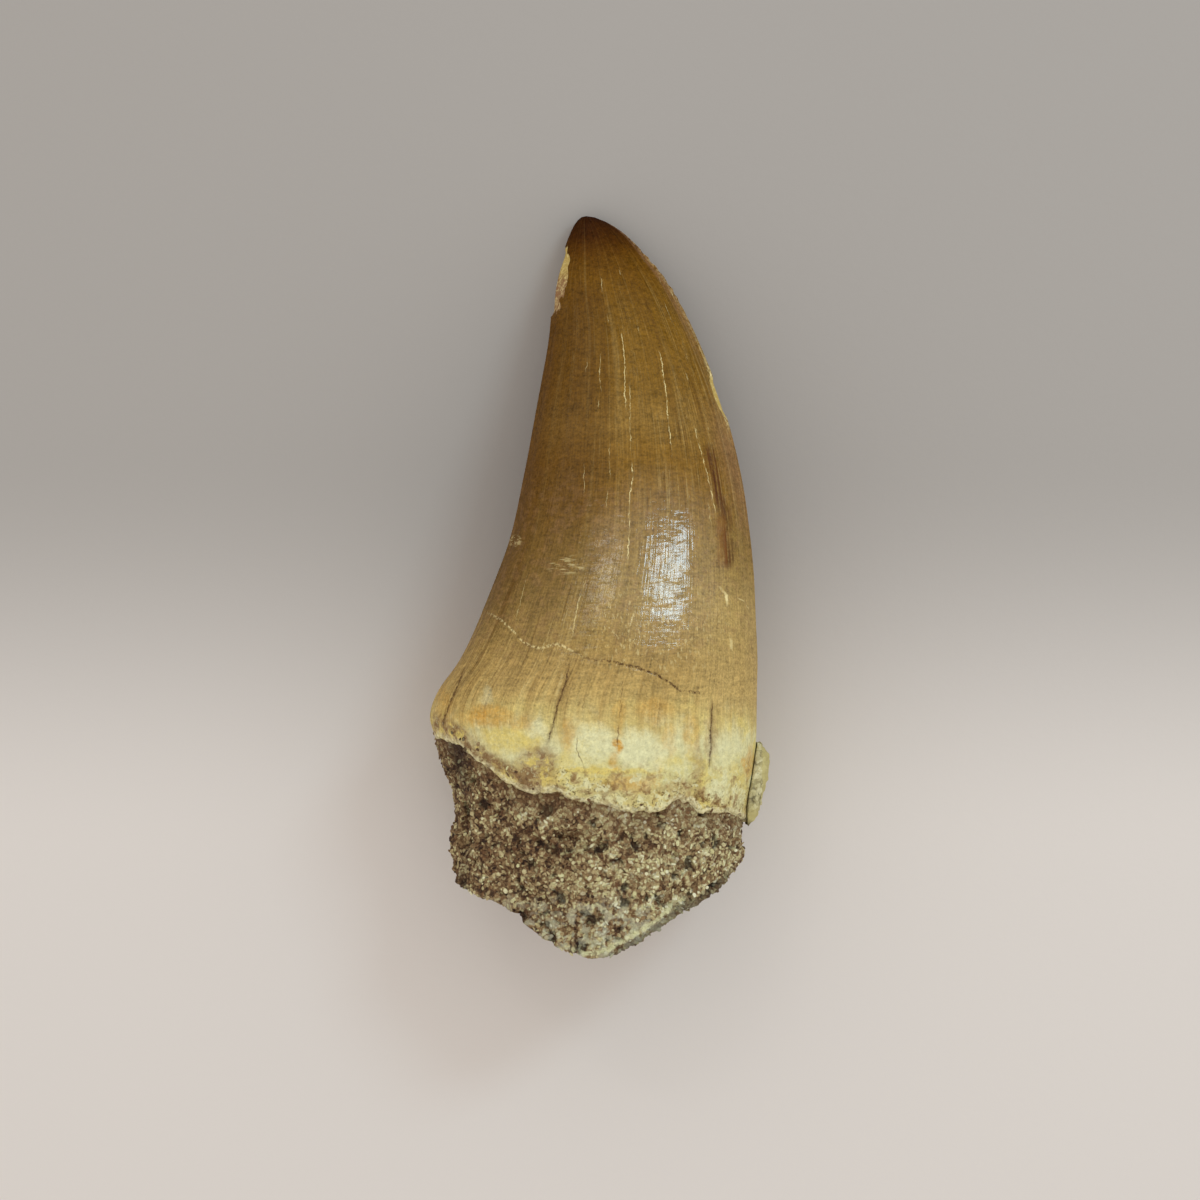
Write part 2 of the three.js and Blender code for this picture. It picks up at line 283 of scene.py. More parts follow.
def crownRelief(place, degrees):
    height = formAt(place)[0]
    flat = onSection(place, degrees, 0)
    turn = np.radians(degrees)
    depth, pitch, low, high = tooth["serration"]
    notches = depth * smooth(low, low + 2, height) * smooth(high, high - 1, height)
    notches = notches * np.sin(ragged(2 * np.pi * height / pitch, flat, [tooth["serrationWander"]]))
    keels = 0
    for at, extra in [(0, notches), (fullTurn / 2, 0)]:
        away = np.radians(turnFrom(at, degrees)) / tooth["keelHalfWidth"]
        keels = keels + (tooth["keelHeight"] + extra) * np.exp(-(away ** 2) / 2)
    push = keels * smooth(*tooth["keelFades"], height)
    flutes = np.cos(turn * tooth["fluteCount"] + 1.3 * np.sin(turn))
    push += tooth["fluteDepth"] * flutes * smooth(*tooth["fluteHeights"], height)
    push *= smooth(tipHeight, tipHeight - tooth["tipSmooth"], height)
    push -= chipMask(height, degrees)
    seen = smooth(0, 0.15, np.sin(turn))
    wander = ragged(0, flat, tooth["crackRagged"])
    for crack in carvedCracks:
        away = lineDistance(flat[:, :2], crack["line"]) + wander
        push -= seen * crack["depth"] * np.exp(-((away / crack["half"]) ** 2))
    return push - hollowDepth(flat, degrees)


def rootRelief(p, size):
    strength, finer = tooth["lumpDetail"]
    lumps = ragged(0, p, [(1, tooth["lumpPitch"]), (strength, tooth["lumpPitch"] / finer)])
    hollow = smooth(*tooth["pitLevels"], latticeNoise(p + [40, 0, 0], tooth["pitPitch"]))
    return size * lumps - tooth["pitDepth"] * hollow


def edgeHeight(degrees):
    turn = np.radians(degrees)
    girth = tooth["edgeGirth"]
    p = np.stack([girth * np.cos(turn), 0 * turn, girth * np.sin(turn)], axis=1)
    return ragged(along(tooth["crownEdge"], degrees, fullTurn), p, tooth["edgeRagged"])


def rimHeight(degrees):
    return along(tooth["rootRim"], degrees, fullTurn)


def rootRing(share, degrees, relief=1.0):  # share 0 is under the crown's edge, 1 at the rim of the break
    edge = edgeHeight(degrees) - tooth["rootTuck"]
    place = placeOfHeight(edge + (rimHeight(degrees) - edge) * share)
    inset = -along(tooth["edgeStep"], degrees, fullTurn)
    settled = relief * np.minimum(1, 0.3 + 11 * share / 3)  # the lumps swell within the first rows
    bare = onSection(place, degrees, inset)
    push = settled * rootRelief(bare, tooth["rootLump"]) - relief * hollowDepth(bare, degrees)
    return onSection(place, degrees, inset + push)


def breakRing(share, degrees):  # share 0 is at the rim, 1 in the middle of the break
    bare = rootRing(1, degrees, 0)
    p = bare + (np.array(tooth["breakCentre"]) - bare) * share
    start, full, still, end = tooth["lipTurn"]
    lip = smooth(start, full, degrees) * smooth(end, still, degrees)
    down = tooth["lipReach"] * lip * math.sin(math.pi * min(1, 2.2 * share))
    level = p * [1, 0, 1]
    lumps = latticeNoise(level, tooth["breakPitch"])
    lumps += 0.5 * latticeNoise(level + [0, 20, 0], tooth["breakPitch"] / 2)
    p += (rootRing(1, degrees) - bare) * (1 - smooth(0, 0.2, share))
    p[:, 1] -= down + tooth["breakLump"] * lumps * smooth(0, 0.25, share)
    return p


def ringDegrees(columns):
    turn = 2 * np.pi * np.arange(columns) / columns
    return np.degrees(turn + tooth["frontCrowding"] * np.cos(turn)) % fullTurn


def ringFaces(start, n, nextStart, m):  # between two rings, where one may have twice the other's points
    i = np.arange(min(n, m))
    if n == m:
        corners = [(start + i, nextStart + i, nextStart + (i + 1) % n, start + (i + 1) % n)]
    elif n > m:
        a, b, c = start + 2 * i, start + 2 * i + 1, start + (2 * i + 2) % n
        d, e = nextStart + i, nextStart + (i + 1) % m
        corners = [(b, d, e), (a, d, b), (b, e, c)]
    else:
        a, b, c = nextStart + 2 * i, nextStart + 2 * i + 1, nextStart + (2 * i + 2) % m
        d, e = start + i, start + (i + 1) % n
        corners = [(d, b, e), (d, a, b), (e, b, c)]
    return [face for group in corners for face in np.stack(group, axis=1).tolist()]


deepInside = -6.0  # how far from the crown's edge the break counts as


# Each ring holds its points, their degrees, their heights above the crown's edge and above the rim, and
# whether it is root
def toothRings():
    rings = []
    rootColumns = tooth["rootColumns"]
    firstStep, secondStep = tooth["breakColumnSteps"]
    for row in range(1, tooth["breakRows"]):
        degrees = ringDegrees(rootColumns // (4 if row < firstStep else 2 if row < secondStep else 1))
        points = breakRing(1 - row / tooth["breakRows"], degrees)
        away = np.linalg.norm(points - rootRing(1, degrees), axis=1)
        rings.append((points, degrees, deepInside + 0 * degrees, -away, True))
    degrees = ringDegrees(rootColumns)
    edge = edgeHeight(degrees)
    rim = rimHeight(degrees)
    for row in range(tooth["rootRows"] + 1):
        share = 1 - row / tooth["rootRows"]
        points = rootRing(share, degrees)
        rings.append((points, degrees, points[:, 1] - edge, (edge - rim) * (1 - share), True))
    for drop, inset in tooth["edgeRows"]:
        place = placeOfHeight(edge - drop)
        relief = crownRelief(place, degrees) - inset * tooth["edgeThickness"]
        rings.append((onSection(place, degrees, relief), degrees, 0 * degrees, edge - rim, False))
    for row, (share, midHeight) in enumerate(crownHeights()):
        columns = tooth["crownColumns"] // (1 if midHeight < tooth["tipColumnsFrom"] else 2)
        degrees = ringDegrees(rootColumns if row == 0 else columns)
        edge = edgeHeight(degrees)
        low = placeOfHeight(edge)
        place = low + (lastStation - low) * share
        height = formAt(place)[0]
        points = onSection(place, degrees, crownRelief(place, degrees))
        rings.append((points, degrees, height - edge, height - rimHeight(degrees), False))
    return rings


def crownHeights():  # shares of the way to the tip, with the height in the middle of the front
    front = np.array([90.0])
    low = placeOfHeight(edgeHeight(front))[0]
    shares, at = [], 0.0
    while at < 1:
        place = np.array([low + (lastStation - low) * at])
        height = formAt(place)[0][0]
        shares.append((at, height))
        inCrack = tooth["crackRows"][0] < height < tooth["crackRows"][1]
        step = tooth["crackRowStep"] if inCrack else tooth["crownRowStep"]
        ahead = placeOfHeight(np.array([min(height + step, tipHeight)]))[0]
        at = max(at + 0.25 / 90, (ahead - low) / (lastStation - low))
    return [s for s in shares if s[0] < 0.999]


def meshOf(name, points, faces, attributes, faceFlags):
    mesh = bpy.data.meshes.new(name)
    mesh.from_pydata(points.tolist(), [], faces)
    for key, values in attributes.items():
        vector = np.ndim(values) == 2
        layer = mesh.attributes.new(key, "FLOAT_VECTOR" if vector else "FLOAT", "POINT")
        layer.data.foreach_set("vector" if vector else "value", np.asarray(values, np.float32).ravel())
    for key, values in faceFlags.items():
        layer = mesh.attributes.new(key, "BOOLEAN", "FACE")
        layer.data.foreach_set("value", np.asarray(values, bool))
    mesh.polygons.foreach_set("use_smooth", np.ones(len(mesh.polygons), bool))
    mesh.update()
    piece = bpy.data.objects.new(name, mesh)
    bpy.context.scene.collection.objects.link(piece)
    return piece


def skinOf(rings, first, last):  # rings joined in their order, and closed at a point on either end
    sizes = [len(ring[0]) for ring in rings]
    starts = 1 + np.concatenate([[0], np.cumsum(sizes)])
    n, m = sizes[0], sizes[-1]
    bands = [[[0, starts[0] + i, starts[0] + (i + 1) % n] for i in range(n)]]
    for r in range(len(rings) - 1):
        bands.append(ringFaces(starts[r], sizes[r], starts[r + 1], sizes[r + 1]))
    bands.append([[starts[-2] + i, starts[-1], starts[-2] + (i + 1) % m] for i in range(m)])
    points = np.concatenate([[first]] + [ring[0] for ring in rings] + [[last]])
    faces = [[int(v) for v in face] for band in bands for face in band]
    owner = np.repeat(np.arange(len(bands)), [len(band) for band in bands])
    return points, faces, owner


rings = toothRings()
centre = breakRing(1, np.array([0.0]))[0]
tip = onSection(np.array([float(lastStation)]), np.array([0.0]), 0)[0]
points, faces, owner = skinOf(rings, centre, tip)
points[:, 2] = np.maximum(points[:, 2], 0)  # worn flat on the table

low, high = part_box("tooth")
shift = np.array([
    (low.x + high.x) / (2 * mm) - (points[:, 0].min() + points[:, 0].max()) / 2,
    high.y / mm - points[:, 1].max(),
    0,
])


def joined(pick, first, last):
    return np.concatenate([[first]] + [pick(ring) for ring in rings] + [[last]])


def crumbledEdge(p, edgeReach, turn):  # how thickly crumbs lie on the torn edge of the enamel
    leftFront = smooth(-3.4, -5.0, p[:, 0]) * smooth(0, 0.3, np.sin(turn))
    patchy = smooth(-0.1, 0.5, latticeNoise(p, 0.9))
    wide = 0.6 * leftFront * smooth(2.2, 0.3, edgeReach)
    narrow = 0.35 * smooth(0.6, 0.05, edgeReach)
    return patchy * np.maximum(wide, narrow)


degreesAll = joined(lambda ring: ring[1], 0.0, 0.0)
turnAll = np.radians(degreesAll)
edgeReach = joined(lambda ring: ring[2], deepInside, 50.0)
rimReach = joined(lambda ring: ring[3], 2 * deepInside, 60.0)
isRoot = joined(lambda ring: np.full(len(ring[1]), float(ring[4])), 1.0, 0.0)
girth = tooth["edgeGirth"]
attributes = {
    "rest": points,
    "growth": np.stack([girth * np.cos(turnAll), girth * np.sin(turnAll), points[:, 1]], axis=1),
    "edgeReach": edgeReach,
    "rimReach": rimReach,
    "seen": np.sin(turnAll),
    "sideways": np.cos(turnAll),
    "chip": chipMask(points[:, 1], degreesAll) * (isRoot < 0.5),
    "rough": isRoot * smooth(0.02, 0.35, -edgeReach),
    "crumbly": np.where(
        isRoot > 0.5, smooth(0.05, 0.3, -edgeReach), crumbledEdge(points, edgeReach, turnAll)),
}
rootBands = sum(ring[4] for ring in rings)
fossilTooth = meshOf(
    "fossil_tooth", (points + shift) * mm, faces, attributes, {"crownFace": owner >= rootBands})
print("tooth:", len(rings), "rings,", len(faces), "faces before its grains")


# Node trees are built through one method, and their numbers are written as Python expressions

class Wire:
    def __init__(self, bench, socket):
        self.bench = bench
        self.socket = socket

    def __add__(self, other):
        return self.bench.maths("ADD", self, other)

    def __sub__(self, other):
        return self.bench.maths("SUBTRACT", self, other)

    def __rsub__(self, other):
        return self.bench.maths("SUBTRACT", other, self)

    def __mul__(self, other):
        return self.bench.maths("MULTIPLY", self, other)

    def __truediv__(self, other):
        return self.bench.maths("DIVIDE", self, other)

    def __rtruediv__(self, other):
        return self.bench.maths("DIVIDE", other, self)

    __radd__ = __add__
    __rmul__ = __mul__

    def output(self, name):  # another output of the same node
        return Wire(self.bench, named(self.socket.node.outputs, name))


def named(sockets, name):
    found = [s for s in sockets if name in (s.identifier, s.name)]
    return next((s for s in found if s.enabled), found[0])


class Bench:
    def __init__(self, tree):
        self.tree = tree
        self.tree.nodes.clear()

    def node(self, kind, settings=None, values=None, output=None):
        made = self.tree.nodes.new(kind)
        for key, value in (settings or {}).items():
            if key == "stops":
                ramp = made.color_ramp
                while len(ramp.elements) < len(value):
                    ramp.elements.new(1)
                for element, (at, colour) in zip(ramp.elements, value):
                    element.position = at
                    element.color = colour
            elif key == "points":
                curve = made.mapping.curves[0]
                while len(curve.points) < len(value):
                    curve.points.new(0.5, 0.5)
                for point, (at, level) in zip(curve.points, value):
                    point.location = (at, level)
                    point.handle_type = "VECTOR"
                made.mapping.update()
            else:
                setattr(made, key, value)
        for key, value in (values or {}).items():
            for one in value if isinstance(value, list) else [value]:
                if isinstance(one, Wire):
                    self.tree.links.new(one.socket, named(made.inputs, key))
                else:
                    named(made.inputs, key).default_value = one
        if not len(made.outputs):
            return None
        return Wire(self, named(made.outputs, output) if output else made.outputs[0])

    def maths(self, operation, *terms):
        keys = ["Value", "Value_001", "Value_002"]
        return self.node("ShaderNodeMath", {"operation": operation}, dict(zip(keys, terms)))

    def most(self, a, b):
        return self.maths("MAXIMUM", a, b)

    def vectors(self, operation, values, output=None):
        return self.node("ShaderNodeVectorMath", {"operation": operation}, values, output)

    def axes(self, vector):  # the x and the y of a place
        x = self.node("ShaderNodeSeparateXYZ", None, {"Vector": vector}, "X")
        return x, x.output("Y")

    def mix(self, factor, a, b):
        values = {"Factor_Float": factor, "A_Color": a, "B_Color": b}
        return self.node("ShaderNodeMix", {"data_type": "RGBA"}, values, "Result_Color")

    def ramp(self, stops, factor):
        return self.node("ShaderNodeValToRGB", {"stops": stops}, {"Fac": factor}, "Color")

    def channel(self, colour, name):
        return self.node("ShaderNodeSeparateColor", None, {"Color": colour}, name)

    def bump(self, height, distance=mm):
        return self.node("ShaderNodeBump", None, {"Height": height, "Distance": distance, "Strength": 1.0})

    def ease(self, value, low, high, start=0.0, end=1.0, kind="SMOOTHSTEP"):
        values = {"Value": value, "From Min": low, "From Max": high, "To Min": start, "To Max": end}
        return self.node("ShaderNodeMapRange", {"interpolation_type": kind, "clamp": False}, values)

    def noise(self, vector, scale, detail=2.0, roughness=0.5):
        values = {"Vector": vector, "Scale": scale, "Detail": detail, "Roughness": roughness}
        return self.node("ShaderNodeTexNoise", None, values)

    def cells(self, vector, scale):
        return self.node("ShaderNodeTexVoronoi", None, {"Vector": vector, "Scale": scale})

    def attribute(self, name, output="Fac"):
        return self.node("ShaderNodeAttribute", {"attribute_name": name}, None, output)

    def warped(self, vector, scale, reach):  # a place pushed about by noise, so that patterns run unevenly
        push = self.noise(vector, scale).output("Color")
        push = self.vectors("SUBTRACT", {"Vector": push, "Vector_001": (0.5, 0.5, 0.5)})
        push = self.vectors("SCALE", {"Vector": push, "Scale": reach})
        return self.vectors("ADD", {"Vector": vector, "Vector_001": push})

    def stretched(self, vector, scale, location=(0, 0, 0), rotation=(0, 0, 0)):
        return self.node("ShaderNodeMapping", None, {
            "Vector": vector, "Scale": scale, "Location": location, "Rotation": rotation})


grainWarp = 0.6           # how far the grains' outlines are pushed about, in grain sizes
pitShare = (0.56, 0.68)   # the noise levels between which a pit deepens


def ink(red, green, blue):  # a screen colour as the renderer's own linear one
    def linear(v):
        v /= 255
        return v / 12.92 if v <= 0.04045 else ((v + 0.055) / 1.055) ** 2.4
    return (linear(red), linear(green), linear(blue), 1)


# Grains and pits of the porous root and of the rock, as one tree with a setting for each size

def newTree(name, inputs):
    tree = bpy.data.node_groups.new(name, "GeometryNodeTree")
    bench = Bench(tree)
    for inputName, kind in [("Geometry", "Geometry")] + inputs:
        tree.interface.new_socket(inputName, in_out="INPUT", socket_type="NodeSocket" + kind)
    tree.interface.new_socket("Geometry", in_out="OUTPUT", socket_type="NodeSocketGeometry")
    return tree, bench, bench.node("NodeGroupInput", None, None, "Geometry")


def meshAttribute(bench, name, kind):
    return bench.node("GeometryNodeInputNamedAttribute", {"data_type": kind}, {"Name": name}, "Attribute")


def grainySurface():
    tree, bench, given = newTree("grainySurface", [
        ("Grain Size", "Float"), ("Grain Height", "Float"), ("Fine Height", "Float"), ("Pit Size", "Float"),
        ("Pit Depth", "Float"), ("Smooth Finish", "Material"), ("Grainy Finish", "Material"),
    ])
    grainSize = given.output("Grain Size")
    rest = meshAttribute(bench, "rest", "FLOAT_VECTOR")
    warped = bench.warped(rest, 1 / grainSize, grainSize * grainWarp)
    grains = bench.cells(warped, 1 / grainSize)
    dome = bench.ease(grains, 0.75, 0.1)
    lift = bench.ease(grains.output("Color"), 0.15, 0.85, -0.35, 1)
    fine = bench.noise(rest, 2.2 / grainSize, 3.0, 0.65) - 0.5
    pits = bench.ease(bench.noise(rest, 1 / given.output("Pit Size"), 2.0, 0.6), *pitShare)
    height = dome * lift * given.output("Grain Height") + fine * given.output("Fine Height")
    height = (height - pits * given.output("Pit Depth")) * meshAttribute(bench, "rough", "FLOAT")
    normal = bench.node("GeometryNodeInputNormal")
    offset = bench.vectors("SCALE", {"Vector": normal, "Scale": height})
    body = bench.node("GeometryNodeSetPosition", None, {"Geometry": given, "Offset": offset})
    body = bench.node("GeometryNodeSetShadeSmooth", None, {"Geometry": body})
    body = bench.node("GeometryNodeRealizeInstances", None, {"Geometry": body})
    body = bench.node("GeometryNodeSetMaterial", None, {
        "Geometry": body, "Material": given.output("Grainy Finish")})
    body = bench.node("GeometryNodeSetMaterial", None, {
        "Geometry": body, "Selection": meshAttribute(bench, "crownFace", "BOOLEAN"),
        "Material": given.output("Smooth Finish")})
    bench.node("NodeGroupOutput", None, {"Geometry": body})
    return tree


crumbTilt = ((-0.6, -0.6, 0), (0.6, 0.6, 6.28))      # the least and the most turn, in radians
crumbStretch = ((0.5, 0.4, 0.25), (1.9, 1.3, 0.6))


# Loose crumbs, each spun and stretched its own way, half sunk in the surface that bears them
def looseCrumbs():
    tree, bench, given = newTree("looseCrumbs", [
        ("Crumb Size", "Float"), ("Crumb Distance", "Float"), ("Seed", "Int"), ("Finish", "Material"),
    ])
    seed = given.output("Seed")
    spots = bench.node("GeometryNodeDistributePointsOnFaces", {"distribute_method": "POISSON"}, {
        "Mesh": given, "Distance Min": given.output("Crumb Distance"), "Density Max": 4e7,
        "Density Factor": meshAttribute(bench, "crumbly", "FLOAT"), "Seed": seed})
    tone = bench.node("FunctionNodeRandomValue", {"data_type": "FLOAT"}, {"Seed": seed + 1}, "Value_001")
    toned = bench.node("GeometryNodeStoreNamedAttribute", {"data_type": "FLOAT"}, {
        "Geometry": spots, "Name": "tone", "Value": tone})
    crumb = bench.node("GeometryNodeMeshIcoSphere", None, {
        "Radius": given.output("Crumb Size"), "Subdivisions": 1})
    tilt = bench.node("FunctionNodeRandomValue", {"data_type": "FLOAT_VECTOR"}, {
        "Min": crumbTilt[0], "Max": crumbTilt[1], "Seed": seed + 2})
    turned = bench.node("FunctionNodeRotateRotation", {"rotation_space": "LOCAL"}, {
        "Rotation": spots.output("Rotation"), "Rotate By": tilt})
    sizes = bench.node("FunctionNodeRandomValue", {"data_type": "FLOAT_VECTOR"}, {
        "Min": crumbStretch[0], "Max": crumbStretch[1], "Seed": seed + 3})
    crumbs = bench.node("GeometryNodeInstanceOnPoints", None, {
        "Points": toned, "Instance": crumb, "Rotation": turned, "Scale": sizes})
    crumbs = bench.node("GeometryNodeRealizeInstances", None, {"Geometry": crumbs})
    crumbs = bench.node("GeometryNodeSetMaterial", None, {
        "Geometry": crumbs, "Material": given.output("Finish")})
    bench.node("NodeGroupOutput", None, {"Geometry": crumbs})
    return tree


def grown(piece, tree, settings):  # runs a tree on a piece and keeps the result as its plain mesh
    modifier = piece.modifiers.new("grains", "NODES")
    modifier.node_group = tree
    keys = {item.name: item.identifier for item in tree.interface.items_tree if item.in_out == "INPUT"}
    for name, value in settings.items():
        modifier[keys[name]] = value
    graph = bpy.context.evaluated_depsgraph_get()
    graph.update()
    mesh = bpy.data.meshes.new_from_object(
        piece.evaluated_get(graph), preserve_all_data_layers=True, depsgraph=graph)
    piece.modifiers.clear()
    for slot in reversed(range(len(mesh.materials))):
        if mesh.materials[slot] is None:
            mesh.materials.pop(index=slot)
    piece.data = mesh
    mesh.name = piece.name
    place = np.empty(len(mesh.vertices) * 3, np.float32)
    mesh.vertices.foreach_get("co", place)
    place[2::3] = np.maximum(place[2::3], 0)  # nothing goes under the table
    mesh.vertices.foreach_set("co", place)
    mesh.update()
    mesh.calc_loop_triangles()
    print(piece.name + ":", len(mesh.loop_triangles), "triangles,", [m.name for m in mesh.materials])


surfaceTree = grainySurface()
crumbTree = looseCrumbs()


def grainy(piece, look, smoothFinish, grainyFinish):
    grown(piece, surfaceTree, {
        "Grain Size": look["grainSize"], "Grain Height": look["grainHeight"] * mm,
        "Fine Height": look["fineHeight"] * mm, "Pit Size": look["pitSize"],
        "Pit Depth": look["pitDepth"] * mm, "Smooth Finish": smoothFinish, "Grainy Finish": grainyFinish,
    })


def crumbsOn(bearer, name, look, finish):
    crumbs = bpy.data.objects.new(name, bearer.data.copy())
    bpy.context.scene.collection.objects.link(crumbs)
    grown(crumbs, crumbTree, {
        "Crumb Size": look["crumbSize"] * mm, "Crumb Distance": look["crumbDistance"] * mm,
        "Seed": look["seed"], "Finish": finish,
    })
    return crumbs


# Finishes

def newMaterial(name):
    made = bpy.data.materials.new(name)
    made.use_nodes = True
    return made, Bench(made.node_tree)


class Paint:  # layers of colour, each laid over the last one where its mask says
    def __init__(self, bench, look, ground):
        self.bench = bench
        self.look = look
        self.colour = ground

    def lay(self, mask, colour):
        over = self.look[colour] if isinstance(colour, str) else colour
        self.colour = self.bench.mix(mask, self.colour, over)


def surfaceOf(bench, colour, roughness, normal, specular):
    return bench.node("ShaderNodeBsdfPrincipled", None, {
        "Base Color": colour, "Roughness": roughness, "Normal": normal,
        "Specular IOR Level": specular}, "BSDF")


def finishSurface(bench, shader):
    bench.node("ShaderNodeOutputMaterial", None, {"Surface": shader})


def millimetres(bench):  # the piece's own place, in the millimetres that the forms above use
    own = bench.node("ShaderNodeTexCoord", None, None, "Object")
    return bench.stretched(own, (1 / mm,) * 3, tuple(-shift))


darkStreak = [
    (9.4, 44.9), (9.8, 42.4), (10.15, 40.4), (10.8, 38.9), (11.1, 37.7), (10.9, 36.7), (11.2, 35.1),
    (11.1, 33.3)]

# Lines that are only drawn on the enamel: half width, strength, and the points along each
drawnLines = {
    "cream": [
        (0.046, 0.8, [(1.8, 55.0), (2.0, 53.4), (2.15, 52.0), (2.15, 49.5), (2.25, 47.4)]),
        (0.043, 0.6, [(2.6, 50.2), (2.62, 45.5), (2.75, 43.4)]),
        (0.052, 0.9, [(2.72, 43.6), (2.85, 41.7), (2.55, 40.0), (2.5, 38.6), (2.55, 37.0),
            (2.35, 34.0)]),
        (0.036, 0.65, [(0.1, 52.9), (-0.05, 50.8), (0.12, 49.0)]),
        (0.036, 0.5, [(-0.12, 48.6), (-0.15, 47.2)]),
        (0.046, 0.9, [(4.95, 53.3), (5.35, 52.2), (5.55, 50.6), (5.75, 49.3), (5.9, 47.2),
            (6.1, 45.1), (6.3, 43.2)]),
        (0.043, 0.75, [(8.1, 46.8), (8.45, 45.2), (9.1, 42.7), (9.6, 40.8), (10.1, 38.1)]),
        (0.036, 0.4, [(9.3, 39.8), (9.7, 37.4)]),
        (0.035, 0.5, [(0.85, 44.9), (0.8, 43.0), (0.9, 41.4)]),
        (0.035, 0.5, [(-1.4, 43.1), (-1.35, 41.0), (-1.5, 39.5)]),
        (0.035, 0.5, [(0.65, 40.7), (0.5, 38.8)]),
        (0.035, 0.4, [(-1.0, 52.7), (-1.3, 50.8)]),
        (0.043, 0.65, [(0.08, 59.6), (0.2, 58.0)]),
        (0.036, 0.4, [(0.6, 56.3), (0.8, 55.2)]),
        (0.036, 0.4, [(1.65, 60.2), (1.85, 59.6)]),
        (0.036, 0.5, [(3.2, 55.7), (3.45, 54.2)]),
        (0.036, 0.45, [(7.4, 51.2), (7.8, 50.1)]),
        (0.036, 0.35, [(5.6, 57.4), (6.4, 55.2)]),
        (0.052, 0.7, [(3.6, 61.4), (4.0, 60.8)]),
        (0.052, 0.7, [(5.1, 59.9), (5.35, 59.0)]),
        (0.052, 0.8, [(6.2, 58.4), (6.6, 57.4)]),
        (0.052, 0.6, [(-1.1, 33.1), (-1.85, 30.9), (-2.1, 29.6), (-2.5, 27.5)]),
        (0.052, 0.5, [(3.1, 31.0), (2.75, 29.5), (2.3, 27.6)]),
        (0.043, 0.4, [(-6.2, 33.7), (-6.9, 30.9), (-7.4, 28.7)]),
        (0.2, 0.3, [(-3.1, 25.2), (-3.5, 23.6), (-3.9, 22.4)]),
        (0.16, 1.0, [(10.2, 32.4), (10.9, 31.5), (11.05, 30.4)]),
        (0.07, 0.8, [(11.5, 31.5), (12.5, 30.95), (12.95, 30.2)]),
        (0.2, 0.55, [(11.3, 28.1), (11.4, 26.3)]),
        (0.1, 0.35, [(9.35, 21.6), (9.25, 18.5), (9.15, 16.2)]),
    ],
    "rust": [
        (0.7, 0.85, darkStreak),
        (0.09, 0.7, [(1.65, 20.6), (1.4, 18.2)]),
        (0.07, 0.7, [(-1.9, 19.8), (-2.0, 18.2), (-1.5, 17.0), (-1.2, 15.9)]),
        (0.07, 0.4, [(-1.2, 23.2), (-1.6, 21.2)]),
    ],
    "orangeRust": [
        (0.7, 0.6, [(10.5, 38.9), (10.6, 36.5), (10.7, 33.6)]),
    ],
    "crack": [
        (0.12, 0.4, darkStreak),
        (0.1, 0.4, [(11.5, 37.0), (11.6, 33.9)]),
        (0.1, 0.35, [(-6.5, 34.6), (-7.2, 31.8), (-7.9, 29.2)]),
        (0.1, 0.3, [(-4.4, 31.4), (-4.9, 28.4)]),
        (0.06, 0.45, [(2.1, 25.3), (1.8, 22.4), (1.65, 20.3)]),
        (0.06, 0.3, [(-7.6, 22.9), (-7.8, 19.4)]),
        (0.06, 0.3, [(5.2, 23.4), (4.9, 19.6)]),
    ],
}


def crackLine(bench, x, y, half, line):  # a mask along a line that runs up the tooth, thin at both ends
    ordered = sorted(line, key=lambda p: p[1])
    xs, ys = [p[0] for p in ordered], [p[1] for p in ordered]
    left, width = min(xs) - 0.01, max(xs) - min(xs) + 0.02
    length = ys[-1] - ys[0]
    share = bench.ease(y, ys[0], ys[-1], kind="LINEAR")
    points = [((b - ys[0]) / length, (a - left) / width) for a, b in ordered]  # as shares of its box
    curve = bench.node("ShaderNodeFloatCurve", {"points": points}, {"Value": share})
    away = bench.maths("ABSOLUTE", x - curve * width - left)
    fade = bench.maths("ABSOLUTE", y - (ys[0] + ys[-1]) / 2)
    taper = bench.ease(fade, length / 2, length / 2 - min(1.2, length / 3))
    return bench.ease(away / half, 1.0, 0.35) * taper


def spot(bench, place, middle, reach, turn=0.0, soft=0.45):  # a soft-edged patch
    local = bench.vectors("SUBTRACT", {"Vector": place, "Vector_001": (*middle, 0)})
    local = bench.stretched(local, (1 / reach[0], 1 / reach[1], 0), rotation=(0, 0, math.radians(turn)))
    away = bench.vectors("LENGTH", {"Vector": local}, "Value")
    return bench.ease(away, 1 + soft, 1 - soft)


